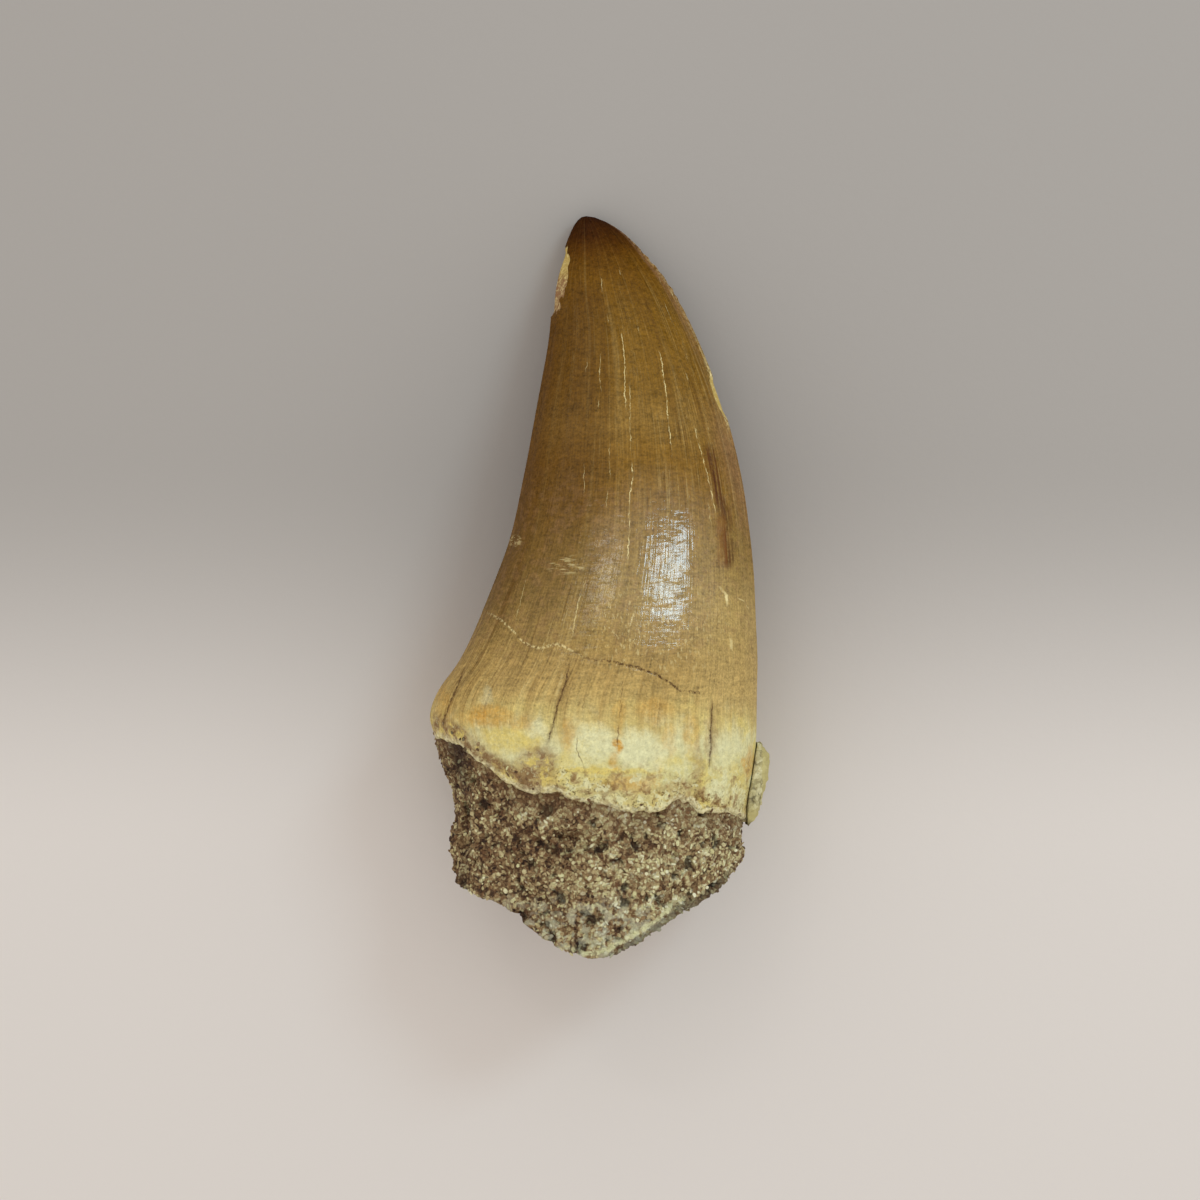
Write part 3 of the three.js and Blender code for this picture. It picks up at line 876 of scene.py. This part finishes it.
enamelLook = {
    "byHeight": [  # millimetres up the tooth, and the colour there
        (11.5, ink(198, 180, 120)),
        (14.5, ink(206, 190, 126)),
        (16.8, ink(212, 202, 140)),
        (18.6, ink(218, 210, 158)),
        (20.4, ink(202, 180, 114)),
        (22.2, ink(183, 154, 92)),
        (24.2, ink(173, 142, 83)),
        (27.0, ink(161, 131, 74)),
        (32.0, ink(155, 127, 70)),
        (36.0, ink(145, 115, 57)),
        (39.5, ink(132, 99, 42)),
        (43.0, ink(126, 91, 30)),
        (46.5, ink(138, 104, 44)),
        (50.0, ink(126, 91, 28)),
        (56.0, ink(120, 85, 20)),
        (60.0, ink(108, 72, 14)),
        (62.2, ink(90, 55, 8)),
        (63.8, ink(66, 34, 4)),
        (65.2, ink(50, 22, 4)),
    ],
    "deepBrown": ink(82, 48, 4),
    "paleTan": ink(194, 166, 104),
    "cream": ink(236, 216, 154),
    "edgeCream": ink(222, 212, 168),
    "crack": ink(62, 30, 12),
    "rust": ink(86, 46, 16),
    "orangeRust": ink(128, 76, 16),
    "orange": ink(200, 146, 54),
    "mauve": ink(150, 112, 78),
    "edgeShade": ink(92, 58, 14),
    "white": ink(222, 217, 170),
    "yellow": ink(219, 196, 106),
    "dirt": ink(128, 88, 44),
    "drab": ink(156, 124, 80),
    "chipTan": ink(192, 164, 94),
    "crumbBrown": ink(118, 80, 48),
    "roughness": 0.09,
    "mattRoughness": 0.6,
    "specular": 0.8,
    "streaks": {  # how many a millimetre across the growth and along it, their detail and roughness
        "wide": (0.34, 0.03, 3.0, 0.5),
        "middle": (1.1, 0.05, 3.0, 0.6),
        "fine": (3.6, 0.14, 2.0, 0.6),
        "hair": (6.5, 0.4, 1.0, 0.5),
        "wave": (0.3, 0.5, 2.0, 0.5),
        "band": (0.06, 0.5, 3.0, 0.6),
        "weave": (0.6, 3.2, 2.0, 0.6),
        "ripple": (0.8, 1.1, 2.0, 0.5),
    },
    # places on the seen side: middle, reach, turn and softness
    "notch": ((-5.5, 16.7), (1.7, 1.7), 20, 0.5),
    "flecked": ((4.5, 28.5), (6.0, 4.0), 0, 0.5),
    "scuffs": [((-2.9, 34.1), (1.6, 0.8), 8, 0.3), ((-7.4, 36.2), (0.6, 0.5), 0, 0.3)],
    "sheen": ((5.3, 34), (5.5, 7), -10, 0.4),
    # patches on the seen side: middle, reach, turn, colour and strength
    "patches": [
        ((-0.7, 18.6), (1.9, 1.6), 0, "white", 0.85),
        ((3.5, 18.1), (2.4, 1.6), 0, "white", 0.9),
        ((-5.6, 19.9), (0.9, 0.9), 0, "white", 0.7),
        ((-8.0, 19.0), (2.2, 1.0), -12, "yellow", 0.75),
        ((-5.9, 18.7), (1.0, 0.8), 0, "yellow", 0.8),
        ((10.7, 17.6), (1.3, 1.6), 0, "white", 0.55),
        ((9.9, 14.4), (1.0, 0.9), 0, "white", 0.8),
        ((11.8, 14.0), (0.5, 1.3), 0, "white", 0.6),
        ((-9.8, 21.0), (2.4, 0.85), 6, "orange", 0.55),
        ((-7.0, 20.4), (1.0, 0.7), 0, "orange", 0.35),
        ((-2.7, 19.6), (0.5, 1.3), 8, "orange", 0.45),
        ((6.0, 19.2), (0.45, 1.5), -4, "orange", 0.3),
        ((9.6, 19.4), (0.5, 2.4), 0, "drab", 0.5),
        ((-10.1, 21.2), (0.8, 0.4), 10, "orange", 0.75),
        ((-9.8, 22.7), (0.45, 0.9), -20, "white", 0.35),
        ((-13.6, 21.6), (0.7, 1.6), 0, "orange", 0.35),
        ((1.5, 18.6), (0.4, 0.5), 0, "orange", 0.95),
        ((1.6, 20.8), (0.5, 1.6), 0, "orange", 0.35),
        ((1.15, 17.2), (0.4, 0.9), 10, "orange", 0.6),
        ((4.8, 21.7), (1.9, 1.0), 10, "orange", 0.3),
        ((7.9, 19.7), (0.7, 1.9), 0, "orange", 0.4),
        ((8.4, 16.6), (0.5, 2.2), 0, "drab", 0.5),
        ((0.1, 16.3), (4.8, 0.28), -4, "yellow", 0.85),
        ((2.4, 15.3), (2.2, 0.6), -6, "orange", 0.55),
        ((0.6, 14.9), (0.9, 0.6), 0, "dirt", 0.5),
        ((12.9, 16.8), (0.45, 1.4), 0, "orange", 0.6),
        ((6.8, 14.9), (1.5, 0.6), 0, "drab", 0.5),
        ((0.6, 36.6), (1.3, 1.9), 0, "drab", 0.3),
        ((7.2, 13.6), (1.3, 0.8), 0, "drab", 0.75),
        ((8.4, 14.2), (0.4, 1.0), 0, "dirt", 0.5),
    ],
}


def enamelFinish():
    look = enamelLook
    made, bench = newMaterial("fossilEnamel")
    ease, noise, stretched = bench.ease, bench.noise, bench.stretched
    place = millimetres(bench)
    x, y = bench.axes(place)
    seen = ease(bench.attribute("seen"), -0.05, 0.1)
    sideways = bench.attribute("sideways")
    growth = bench.attribute("growth", "Vector")
    edge = bench.attribute("edgeReach")

    def streaks(name):
        across, lengthwise, detail, roughness = look["streaks"][name]
        return noise(stretched(growth, (across, across, lengthwise)), 1.0, detail, roughness)

    wide, middle, fine = streaks("wide"), streaks("middle"), streaks("fine")
    hair, wave = streaks("hair"), streaks("wave")
    cloud = noise(place, 0.16, 3.0)
    blot = noise(place, 0.42, 4.0, 0.6)
    grit = noise(place, 3.2, 3.0, 0.7)
    mottle = noise(stretched(place, (2.6, 2.2, 2.6)), 1.0, 4.0, 0.7)
    band = streaks("band")
    uneven = bench.warped(place, 0.8, 1.5)

    low, high = look["byHeight"][0][0], look["byHeight"][-1][0]
    stops = [((at - low) / (high - low), colour) for at, colour in look["byHeight"]]
    wavering = (middle - 0.5) * ease(y, 34, 22, 1.5, 6.0) + (cloud - 0.5) * 3.5 + (blot - 0.5) * 2.0
    height = ease(y + wavering, low, high, kind="LINEAR")
    paint = Paint(bench, look, bench.ramp(stops, height))

    # Streaks along the growth, strongest right of the upper crown and left of the lower one
    upper = ease(y, 17, 24)
    rightUpper = ease(x - y * 0.1, -1.5, 4.0) * ease(y, 36, 42)
    leftLower = ease(x, 1, -6) * ease(y, 38, 31)
    streaky = (0.5 + bench.most(rightUpper, leftLower) * 0.8) * upper * ease(y, 63, 57, 0.3, 1.0)
    paint.lay(ease(middle, 0.52, 0.74) * 0.4 * streaky, "deepBrown")
    paint.lay(ease(middle, 0.46, 0.28) * 0.3 * streaky, "paleTan")
    paint.lay(ease(fine, 0.55, 0.75) * 0.4 * streaky, "deepBrown")
    paint.lay(ease(fine, 0.42, 0.25) * 0.35 * streaky, "paleTan")
    # painted shade on the left flank, which turns away from the key light, over enamel that is browner there
    leftShadeAndBrown = ease(sideways + (wide - 0.5) * 0.5, 0.0, -0.5) * ease(y, 33, 42, 0.48, 0.56)
    paint.lay(leftShadeAndBrown * ease(y, 25, 33) * ease(y, 61, 57), "deepBrown")
    # partly painted light where the lower right faces the key light, partly paler enamel
    rightLowLitAndPale = ease(x, 6, 11) * ease(y, 35, 29) * ease(y, 19, 23)
    paint.lay(rightLowLitAndPale * 0.45, "paleTan")
    flank = ease(sideways, -0.75, -1.0) * ease(y, 27, 33) * ease(y, 63, 60)
    paint.lay(flank * 0.5, "edgeShade")
    ruddy = ease(noise(place, 1.1, 3.0, 0.6), 0.48, 0.62)
    ruddy = ruddy * ease(y, 24, 28) * ease(y, 45, 38)
    paint.lay(ruddy * 0.2, "mauve")
    # painted reflection: a paler pinkish band down the right edge
    rightEdgeSheen = ease(x + (y - 44) * 0.35, 9.3, 11.5) * ease(y, 33, 37) * ease(y, 50, 44) * seen
    paint.lay(rightEdgeSheen * 0.5, "mauve")
    # partly the keel's pinkish colour, partly a painted sheen along the right edge
    keel = ease(sideways, 0.88, 0.97) * 0.75
    keel = keel * ease(y + (blot - 0.5) * 6, 50, 57) * ease(y, 65.0, 64.0)
    paint.lay(keel * ease(grit, 0.35, 0.6, 0.2, 0.7), "mauve")
    # painted highlight: a pale cream line along the very edge of the right keel
    edgeHighlight = ease(sideways, 0.99, 0.999) * ease(y, 45.5, 47.5) * ease(y, 53, 50.5, 0.2, 0.9)
    paint.lay(edgeHighlight * ease(grit, 0.38, 0.56), "cream")

    # Pale and stained places near the crown's lower edge
    base = ease(y + (cloud - 0.5) * 4, 23, 18)
    paint.lay(base * ease(blot, 0.5, 0.66) * 0.55, "white")
    paint.lay(base * ease(blot, 0.48, 0.34) * 0.65, "yellow")
    paint.lay(base * ease(wide, 0.55, 0.7) * ease(grit, 0.35, 0.6) * 0.5, "orange")
    gritty = seen * ease(grit, 0.3, 0.6, 0.5, 1.0)
    for key in ("white", "yellow", "orange", "drab", "dirt"):
        mask = None
        for middlePoint, reach, turn, patchKey, strength in look["patches"]:
            if patchKey == key:
                one = spot(bench, uneven, middlePoint, reach, turn) * strength
                mask = one if mask is None else bench.most(mask, one)
        paint.lay(mask * gritty, key)
    speck = ease(noise(place, 1.7, 4.0, 0.75), 0.56, 0.64)
    fineSpeck = ease(noise(place, 3.9, 3.0, 0.7), 0.58, 0.66)
    flaky = noise(bench.warped(place, 1.2, 1.2), 0.85, 4.0, 0.62)
    lowBand = ease(y + (wide - 0.5) * 3, 17.6, 15.6) * ease(x, -4.5, -3.0)
    paint.lay(lowBand * ease(flaky, 0.47, 0.4) * 0.7, "white")
    paint.lay(lowBand * ease(flaky, 0.53, 0.6) * 0.65, "drab")
    paint.lay(lowBand * ease(flaky, 0.6, 0.68) * 0.6, "dirt")
    leftTorn = ease(x, -3.0, -5.2) * ease(edge + (blot - 0.5) * 5, 3.0, 0.9) * seen
    notch = spot(bench, uneven, *look["notch"]) * seen
    leftTorn = bench.most(leftTorn, notch)
    paint.lay(leftTorn * 0.7, "drab")
    paint.lay(leftTorn * ease(flaky, 0.48, 0.4) * 0.75, "yellow")
    brownFlakes = ease(flaky + (grit - 0.5) * 0.3, 0.5, 0.58)
    paint.lay(leftTorn * brownFlakes * 0.7, "crumbBrown")
    paint.lay(leftTorn * ease(grit, 0.56, 0.66) * 0.45, "white")
    torn = ease(edge + (blot - 0.5) * 6, 2.6, 0.2) * (1 - leftTorn * 0.6)
    paint.lay(speck * torn * 0.75, "dirt")
    paint.lay(fineSpeck * (0.15 + torn * 0.6) * base, "dirt")

    # The broken enamel's own thickness shows pale along the edge
    lip = ease(edge + (grit - 0.5) * 0.7 + (blot - 0.5) * 0.8, 0.35 + leftTorn * 0.25, 0.05)
    paint.lay(lip * ease(mottle, 0.35, 0.6, 0.25, 0.9), "edgeCream")

    # The grain of the enamel, down to the smallest flecks, some of which are painted glints
    weave = streaks("weave")
    dust = noise(place, 5.2, 2.0, 0.7)
    shade = 1 + (mottle - 0.5) * 0.85 + (band - 0.5) * 0.5 * ease(y, 36, 44)
    shade = shade + (dust - 0.5) * ease(y, 18, 24, 0.4, 1.2)
    shade = shade + (weave - 0.5) * 0.8 * upper + (hair - 0.5) * 0.7 * upper
    paint.colour = bench.vectors("SCALE", {"Vector": paint.colour, "Scale": shade})
    # pale flecks below the key highlight: partly pale enamel, partly painted glints
    fleckAndGlint = ease(noise(stretched(place, (4.5, 1.6, 4.5)), 1.0, 2.0, 0.6), 0.58, 0.68)
    flecked = spot(bench, place, *look["flecked"]) * seen
    paint.lay(fleckAndGlint * flecked * 0.4, "cream")
    scuff = ease(noise(stretched(place, (0.9, 5.0, 0.9)), 1.0, 3.0, 0.6), 0.5, 0.62)
    scuffed = bench.most(*(spot(bench, place, *one) for one in look["scuffs"]))
    paint.lay(scuff * scuffed * seen * 0.4, "cream")

    # Cracks
    wander = x + (noise(place, 1.6, 2.0) - 0.5) * 0.3 + (noise(place, 6.0, 1.0) - 0.5) * 0.14
    broken = ease(noise(stretched(place, (0.7, 1.5, 0.7)), 1.0, 2.0), 0.38, 0.56)
    beside = [(*crack["rust"], crack["line"]) for crack in carvedCracks if "rust" in crack]
    masks = {}
    for key, lines in drawnLines.items():
        for half, strength, line in lines + (beside if key == "rust" else []):
            mask = crackLine(bench, wander, y, half, line) * strength
            masks[key] = bench.most(masks[key], mask) if key in masks else mask
    hairline = ease(bench.maths("ABSOLUTE", fine - 0.5), 0.012, 0.002) * ease(wide, 0.52, 0.62)
    paint.lay(hairline * 0.3 * streaky * ease(y, 60, 55), "cream")
    pale = masks["cream"] * (0.12 + broken * 0.88) * seen
    deep = masks["crack"] * ease(grit, 0.35, 0.55, 0.35, 1.0) * seen
    streaked = ease(fine + (grit - 0.5) * 0.3, 0.36, 0.62, 0.25, 1.0) * seen
    paint.lay(masks["rust"] * streaked, "rust")
    paint.lay(masks["orangeRust"] * streaked, "orangeRust")
    paint.lay(pale, "cream")
    paint.lay(deep, "crack")
    cross, split = carvedMasks(bench, x, y, wander)
    crossPale = ease(x + (grit - 0.5) * 4, -0.6, -3.6)
    crumbled = cross * ease(mottle, 0.46, 0.6)
    paint.lay(crumbled * 0.75 * crossPale * seen, "cream")
    # dark line in the cross crack, stronger to the right: partly dark fill, partly painted shadow of the
    # crack's step
    crossFillAndShadow = cross * (1 - crossPale * 0.6) * ease(mottle, 0.62, 0.4) * ease(x, -4, 5, 0.5, 0.85)
    paint.lay(crossFillAndShadow * seen, "crack")
    paint.lay(split * ease(grit, 0.35, 0.6, 0.3, 0.8) * seen, "crack")

    chip = ease(bench.attribute("chip") + (grit - 0.5) * 0.09, 0.045, 0.12)
    pinkish = ease(y + (grit - 0.5) * 3, 60.4, 58.6) * ease(y, 53, 56)
    chipColour = bench.mix(pinkish, look["chipTan"], look["mauve"])
    paint.lay(chip, bench.mix(ease(grit, 0.46, 0.64) * 0.5, chipColour, look["cream"]))

    rough = look["roughness"] + (mottle - 0.5) * 0.12 + base * 0.22 + chip * 0.3 + torn * speck * 0.3
    ripple = streaks("ripple")
    bumps = (fine - 0.5) * 0.026 + (hair - 0.5) * 0.012 + (weave - 0.5) * 0.014 + (wave - 0.5) * 0.09
    bumps = bumps + (ripple - 0.5) * 0.035 + (mottle - 0.5) * (0.008 + base * 0.06)
    bumps = bumps + (blot - 0.5) * base * 0.12 - (speck + fineSpeck) * torn * 0.07
    normal = bench.bump(bumps)
    gloss = ease(y, 63, 55, 0.06, 0.2) + spot(bench, place, *look["sheen"]) * seen * 0.6
    gloss = gloss * ease(mottle, 0.35, 0.5, 0.6, 1.0) * (1 - chip)
    matt = surfaceOf(bench, paint.colour, look["mattRoughness"], normal, 0.0)
    polished = surfaceOf(bench, paint.colour, rough, normal, look["specular"])
    finishSurface(bench, bench.node("ShaderNodeMixShader", None, {
        "Fac": gloss, "Shader": matt, "Shader_001": polished}))
    return made


def carvedMasks(bench, x, y, wander):  # the crack across the crown, and those along it
    cross, split = None, None
    wavedY = y + wander - x
    for crack in carvedCracks:
        line = crack["line"]
        if abs(line[-1][1] - line[0][1]) > abs(line[-1][0] - line[0][0]):
            one = crackLine(bench, wander, y, crack["half"], line)
            split = one if split is None else bench.most(split, one)
        else:
            one = crackLine(bench, wavedY, x, crack["half"] * 1.3, [(b, a) for a, b in line])
            cross = one if cross is None else bench.most(cross, one)
    return cross, split


rootLook = {
    "grainSize": 0.55,
    "grainHeight": 0.2,
    "fineHeight": 0.16,
    "pitSize": 1.5,
    "pitDepth": 0.4,
    "crumbSize": 0.175,
    "crumbDistance": 0.37,
    "seed": 7,
    "specular": 0.35,
    "grains": [
        (0.0, ink(50, 30, 18)), (0.22, ink(96, 68, 42)), (0.42, ink(146, 118, 80)),
        (0.62, ink(184, 164, 118)), (0.82, ink(218, 208, 160)), (1.0, ink(242, 238, 204)),
    ],
    # the colour of painted shade in gaps and pits, along the left edge and under the rim
    "hollow": ink(36, 20, 12),
    "topBrown": ink(112, 82, 52),
    "lowGrey": ink(186, 184, 158),
    "ruddy": ink(122, 84, 52),
    "greenCream": ink(214, 210, 152),
    "rim": ink(216, 212, 164),
}


def rootFinish(name, loose):  # the root's own surface, or the crumbs on it
    look = rootLook
    made, bench = newMaterial(name)
    ease, noise = bench.ease, bench.noise
    rest = bench.attribute("rest", "Vector")
    x, y = bench.axes(rest)
    edge = bench.attribute("edgeReach")
    rim = bench.attribute("rimReach")
    seen = ease(bench.attribute("seen"), 0.2, 0.5)
    cloud = noise(rest, 0.35, 3.0, 0.6)
    clump = noise(rest, 1.2, 2.0, 0.6)
    grit = noise(millimetres(bench), 4.5, 3.0, 0.7)
    pits = ease(noise(rest, 1 / look["pitSize"], 2.0, 0.6), *pitShare)
    if loose:
        speckle = bench.attribute("tone")
        shade = speckle * 0.7 + 0.15
        # painted shade on crumbs that lie in pits
        gapShade = pits * 0.7
    else:
        warped = bench.warped(rest, 1 / look["grainSize"], look["grainSize"] * grainWarp)
        big = bench.cells(warped, 1 / look["grainSize"])
        small = bench.cells(warped, 2.2 / look["grainSize"])
        pick = bench.channel(big.output("Color"), "Red")
        speckle = bench.channel(small.output("Color"), "Green")
        shade = pick * 0.35 + speckle * 0.45 + 0.02
        # painted shade between the grains and in the pits
        gapShade = ease(small, 0.5, 0.8) * 0.35 + ease(big, 0.6, 0.9) * 0.4
        gapShade = bench.most(gapShade, pits * 0.85)
    shade = shade + (cloud - 0.5) * 0.7 + (clump - 0.5) * 1.1 + (grit - 0.5) * 0.6
    shade = shade + ease(x, -12, 10, -0.08, 0.12) + ease(y, 6, 1, 0, 0.14)
    paint = Paint(bench, look, bench.ramp(look["grains"], shade))
    kind = noise(rest, 2.9, 1.0)
    paint.lay(ease(kind, 0.54, 0.62) * 0.5, "ruddy")
    paint.lay(ease(kind, 0.44, 0.36) * ease(shade, 0.35, 0.7) * 0.6, "greenCream")
    paint.lay(gapShade, "hollow")
    # a browner band under the crown's edge, partly painted shadow of the enamel's ledge
    ledgeShadeAndBrown = ease(edge + (cloud - 0.5) * 3, -3.0, -0.6) * ease(edge, 0.3, 0.0)
    paint.lay(ledgeShadeAndBrown * 0.45, "topBrown")
    greyPatch = ease(y + (cloud - 0.5) * 6, 6.5, 2.5) * ease(clump, 0.46, 0.58)
    paint.lay(greyPatch * 0.55, "lowGrey")
    # painted shade, with some dirt, where the root's left edge turns away from the light
    paint.lay(ease(x + (grit - 0.5) * 1.2, -10.9, -12.2) * seen * 0.75, "hollow")
    line = rim - ease(x, -2, 5, 0.35, 1.0) + (grit - 0.5) * 0.5 + (cloud - 0.5) * 0.6
    rightArm = ease(x, -3.5, -1.5) * ease(x, 8.5, 5.0) * seen
    # painted shadow on the underside below the pale rim
    rimUnderShadow = ease(line, -0.1, -0.5) * ease(x, -0.5, 2.0) * seen
    paint.lay(rimUnderShadow * 0.55, "hollow")
    pale = ease(bench.maths("ABSOLUTE", line), 0.34, 0.1) * rightArm * ease(speckle, 0.1, 0.6, 0.35, 0.9)
    paint.lay(pale, "rim")
    rough = 0.86 - ease(speckle, 0.8, 1.0) * 0.35
    normal = bench.bump((grit - 0.5) * 0.14)
    finishSurface(bench, surfaceOf(bench, paint.colour, rough, normal, look["specular"]))
    return made


enamel = enamelFinish()
root = rootFinish("porousRoot", False)
looseRoot = rootFinish("rootCrumbs", True)
grainy(fossilTooth, rootLook, enamel, root)
rootCrumbs = crumbsOn(fossilTooth, "root_crumbs", rootLook, looseRoot)
for piece in (fossilTooth, rootCrumbs):
    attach(piece, "root")
    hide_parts("tooth")


# The flake of phosphate rock stuck to the crown's side

flake = {
    "rows": 60,
    "columns": 110,
    # by height: where its outer face is, half its depth from front to back, and its front face
    "outer": [
        [11.4, 12.95], [12.2, 13.6], [13.4, 14.1], [15, 14.45], [16.8, 14.74], [17.7, 14.65], [18.6, 13.95]],
    "halfDepth": [[11.4, 1.5], [13, 2.7], [16, 3.1], [17.8, 2.2], [18.6, 1.1]],
    "front": [[11.4, 11.2], [13, 12.2], [15.5, 12.5], [17.6, 12.0], [18.6, 10.9]],
    "gap": 0.12,
    "lumps": [(0.14, 1.1), (0.08, 0.5)],
    "power": 3.6,
    "grainSize": 0.5,
    "grainHeight": 0.14,
    "fineHeight": 0.1,
    "pitSize": 1.1,
    "pitDepth": 0.16,
    "crumbSize": 0.15,
    "crumbDistance": 0.34,
    "seed": 3,
    "roughness": 0.85,
    "specular": 0.3,
    "grains": [
        (0.0, ink(112, 98, 66)), (0.35, ink(168, 156, 112)), (0.65, ink(204, 194, 146)),
        (1.0, ink(236, 230, 188)),
    ],
    "smoothTan": ink(196, 182, 118),
    # the colour of painted shade between the grains, also laid along the flake's lower end
    "hollow": ink(64, 50, 34),
}


def crownSide(height, depth):
    left, right, front, back = formAt(placeOfHeight(height))[1:]
    rise = np.abs((2 * depth - front - back) / (front - back))
    power = tooth["sectionPower"]
    return (left + right) / 2 + (right - left) / 2 * (1 - rise ** power) ** (1 / power)


def flakeRing(height, degrees):
    heights = np.full(len(degrees), height)
    turn = np.radians(degrees)
    reach = along(flake["halfDepth"], heights)
    middleDepth = along(flake["front"], heights) - reach
    depth = middleDepth + reach * boxed(np.cos(turn), flake["power"])
    inner = crownSide(heights, depth) + flake["gap"]
    thickness = along(flake["outer"], heights) - crownSide(heights, middleDepth) - flake["gap"]
    p = np.stack([inner, heights, depth], axis=1)
    facing = -boxed(np.sin(turn), flake["power"])
    p[:, 0] += np.maximum(0, ragged(thickness, p, flake["lumps"]) * facing)
    return p, facing


flakeDegrees = fullTurn * np.arange(flake["columns"]) / flake["columns"]
flakeHeights = np.linspace(flake["outer"][0][0], flake["outer"][-1][0], flake["rows"])
flakeRings = [flakeRing(height, flakeDegrees) for height in flakeHeights]
ends = [ring[0].mean(axis=0) for ring in (flakeRings[0], flakeRings[-1])]
points, faces, owner = skinOf(flakeRings, *ends)
facing = np.concatenate([[0]] + [ring[1] for ring in flakeRings] + [[0]])
crumbly = smooth(0.1, 0.6, facing) * smooth(14.3, 13.9, points[:, 0]) * smooth(12.4, 13.2, points[:, 1])
flakeAttributes = {"rest": points, "rough": smooth(0.0, 0.5, facing), "crumbly": crumbly}
noFaces = {"crownFace": owner < 0}
stuckFlake = meshOf("stuck_flake", (points + shift) * mm, faces, flakeAttributes, noFaces)
print("flake:", len(flakeRings), "rings,", len(faces), "faces before its grains")


def rockFinish(name, loose):
    look = flake
    made, bench = newMaterial(name)
    ease, noise = bench.ease, bench.noise
    rest = bench.attribute("rest", "Vector")
    x, y = bench.axes(rest)
    cloud = noise(rest, 0.6, 3.0, 0.6)
    grit = noise(millimetres(bench), 4.5, 3.0, 0.7)
    warped = bench.warped(rest, 1 / look["grainSize"], look["grainSize"] * grainWarp)
    big = bench.cells(warped, 1 / look["grainSize"])
    if loose:
        pick = bench.attribute("tone")
    else:
        pick = bench.channel(big.output("Color"), "Red")
    shade = pick * 0.5 + (cloud - 0.5) * 0.5 + (grit - 0.5) * 0.5 + 0.34
    paint = Paint(bench, look, bench.ramp(look["grains"], shade))
    if not loose:
        # painted shade in the gaps between the rock's grains
        paint.lay(ease(big, 0.5, 0.85) * 0.6, "hollow")
    outer = ease(x + (cloud - 0.5) * 0.8, 13.9, 14.25)
    low = ease(y + (cloud - 0.5) * 1.5, 13.4, 12.4)
    paint.lay(bench.most(outer, low) * 0.8, "smoothTan")
    # darker along the flake's lower end
    paint.lay(ease(y, 12.0, 11.4) * 0.8, "hollow")
    normal = bench.bump((grit - 0.5) * 0.12)
    finishSurface(bench, surfaceOf(bench, paint.colour, look["roughness"], normal, look["specular"]))
    return made


rock = rockFinish("phosphateRock", False)
grainy(stuckFlake, flake, rock, rock)
flakeCrumbs = crumbsOn(stuckFlake, "flake_crumbs", flake, rockFinish("rockCrumbs", True))
for piece in (stuckFlake, flakeCrumbs):
    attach(piece, "root")
    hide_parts("rock_flake")


# The table, the light and the camera

table = {
    "far": ink(170, 163, 157),     # behind the tip, and nearer the viewer
    "near": ink(219, 210, 203),
    "turns": (0.012, -0.024),      # metres along the tooth between which it grows paler
    "reach": 1.5,
    "drop": 0.00005,               # below the tooth, so that the two don't share a surface
    "roughness": 0.8,
    "specular": 0.1,
}
bpy.ops.mesh.primitive_plane_add(size=table["reach"] * 2, location=(0, 0, -table["drop"]))
floor = bpy.context.object
floor.name = "studio_table"
made, bench = newMaterial("paleTable")
own = bench.node("ShaderNodeTexCoord", None, None, "Object")
ownY = bench.node("ShaderNodeSeparateXYZ", None, {"Vector": own}, "Y")
shade = bench.mix(bench.ease(ownY, *table["turns"]), table["far"], table["near"])
normal = bench.bump(bench.noise(own, 900.0), 0.00002)
finishSurface(bench, surfaceOf(bench, shade, table["roughness"], normal, table["specular"]))
floor.data.materials.append(made)

# Where each light stands as seen from the crown, how far off, how wide and tall, how strong, and its tint
light = {
    "world": 0.87,
    "aim": (0.0063, 0.0015, 0.018),
    "key_softbox": ((0.475, 0.445, 0.69), 0.42, (0.13, 0.075), 0.345, (0.61, 0.85, 1.0)),
    "side_softbox": ((-0.305, 0.525, 0.78), 0.5, (0.13, 0.035), 0.075, (0.95, 1.0, 1.0)),
}
world = bpy.data.worlds.new("softRoom")
world.use_nodes = True
bpy.context.scene.world = world
bench = Bench(world.node_tree)
glow = bench.node("ShaderNodeBackground", None, {"Color": (1, 0.985, 0.96, 1), "Strength": light["world"]})
bench.node("ShaderNodeOutputWorld", None, {"Surface": glow})


def softbox(name):
    direction, distance, size, power, tint = light[name]
    data = bpy.data.lights.new(name, "AREA")
    data.shape = "RECTANGLE"
    data.size, data.size_y = size
    data.energy = power
    data.color = tint
    lamp = bpy.data.objects.new(name, data)
    bpy.context.scene.collection.objects.link(lamp)
    towards = Vector(direction).normalized()
    across = Vector((0, 1, 0)).cross(towards).normalized()
    turned = Matrix((across, towards.cross(across), towards)).transposed()  # tall along the tooth
    lamp.location = Vector(light["aim"]) + towards * distance
    lamp.rotation_euler = turned.to_euler()


softbox("key_softbox")
softbox("side_softbox")

cameraData = bpy.data.cameras.new("camera")
cameraData.lens = view["lens"]
cameraData.sensor_width = view["sensor"]
cameraData.clip_start = 0.01
camera = bpy.data.objects.new("camera", cameraData)
bpy.context.scene.collection.objects.link(camera)
distance = view["width"] * view["lens"] / view["sensor"]
camera.location = (
    (view["middle"][0] + shift[0]) * mm,
    (view["middle"][1] + shift[1]) * mm,
    (view["outlineHeight"] + distance) * mm,
)
bpy.context.scene.camera = camera
bpy.context.scene.view_settings.view_transform = "Standard"
print("stage: table, lights and camera")
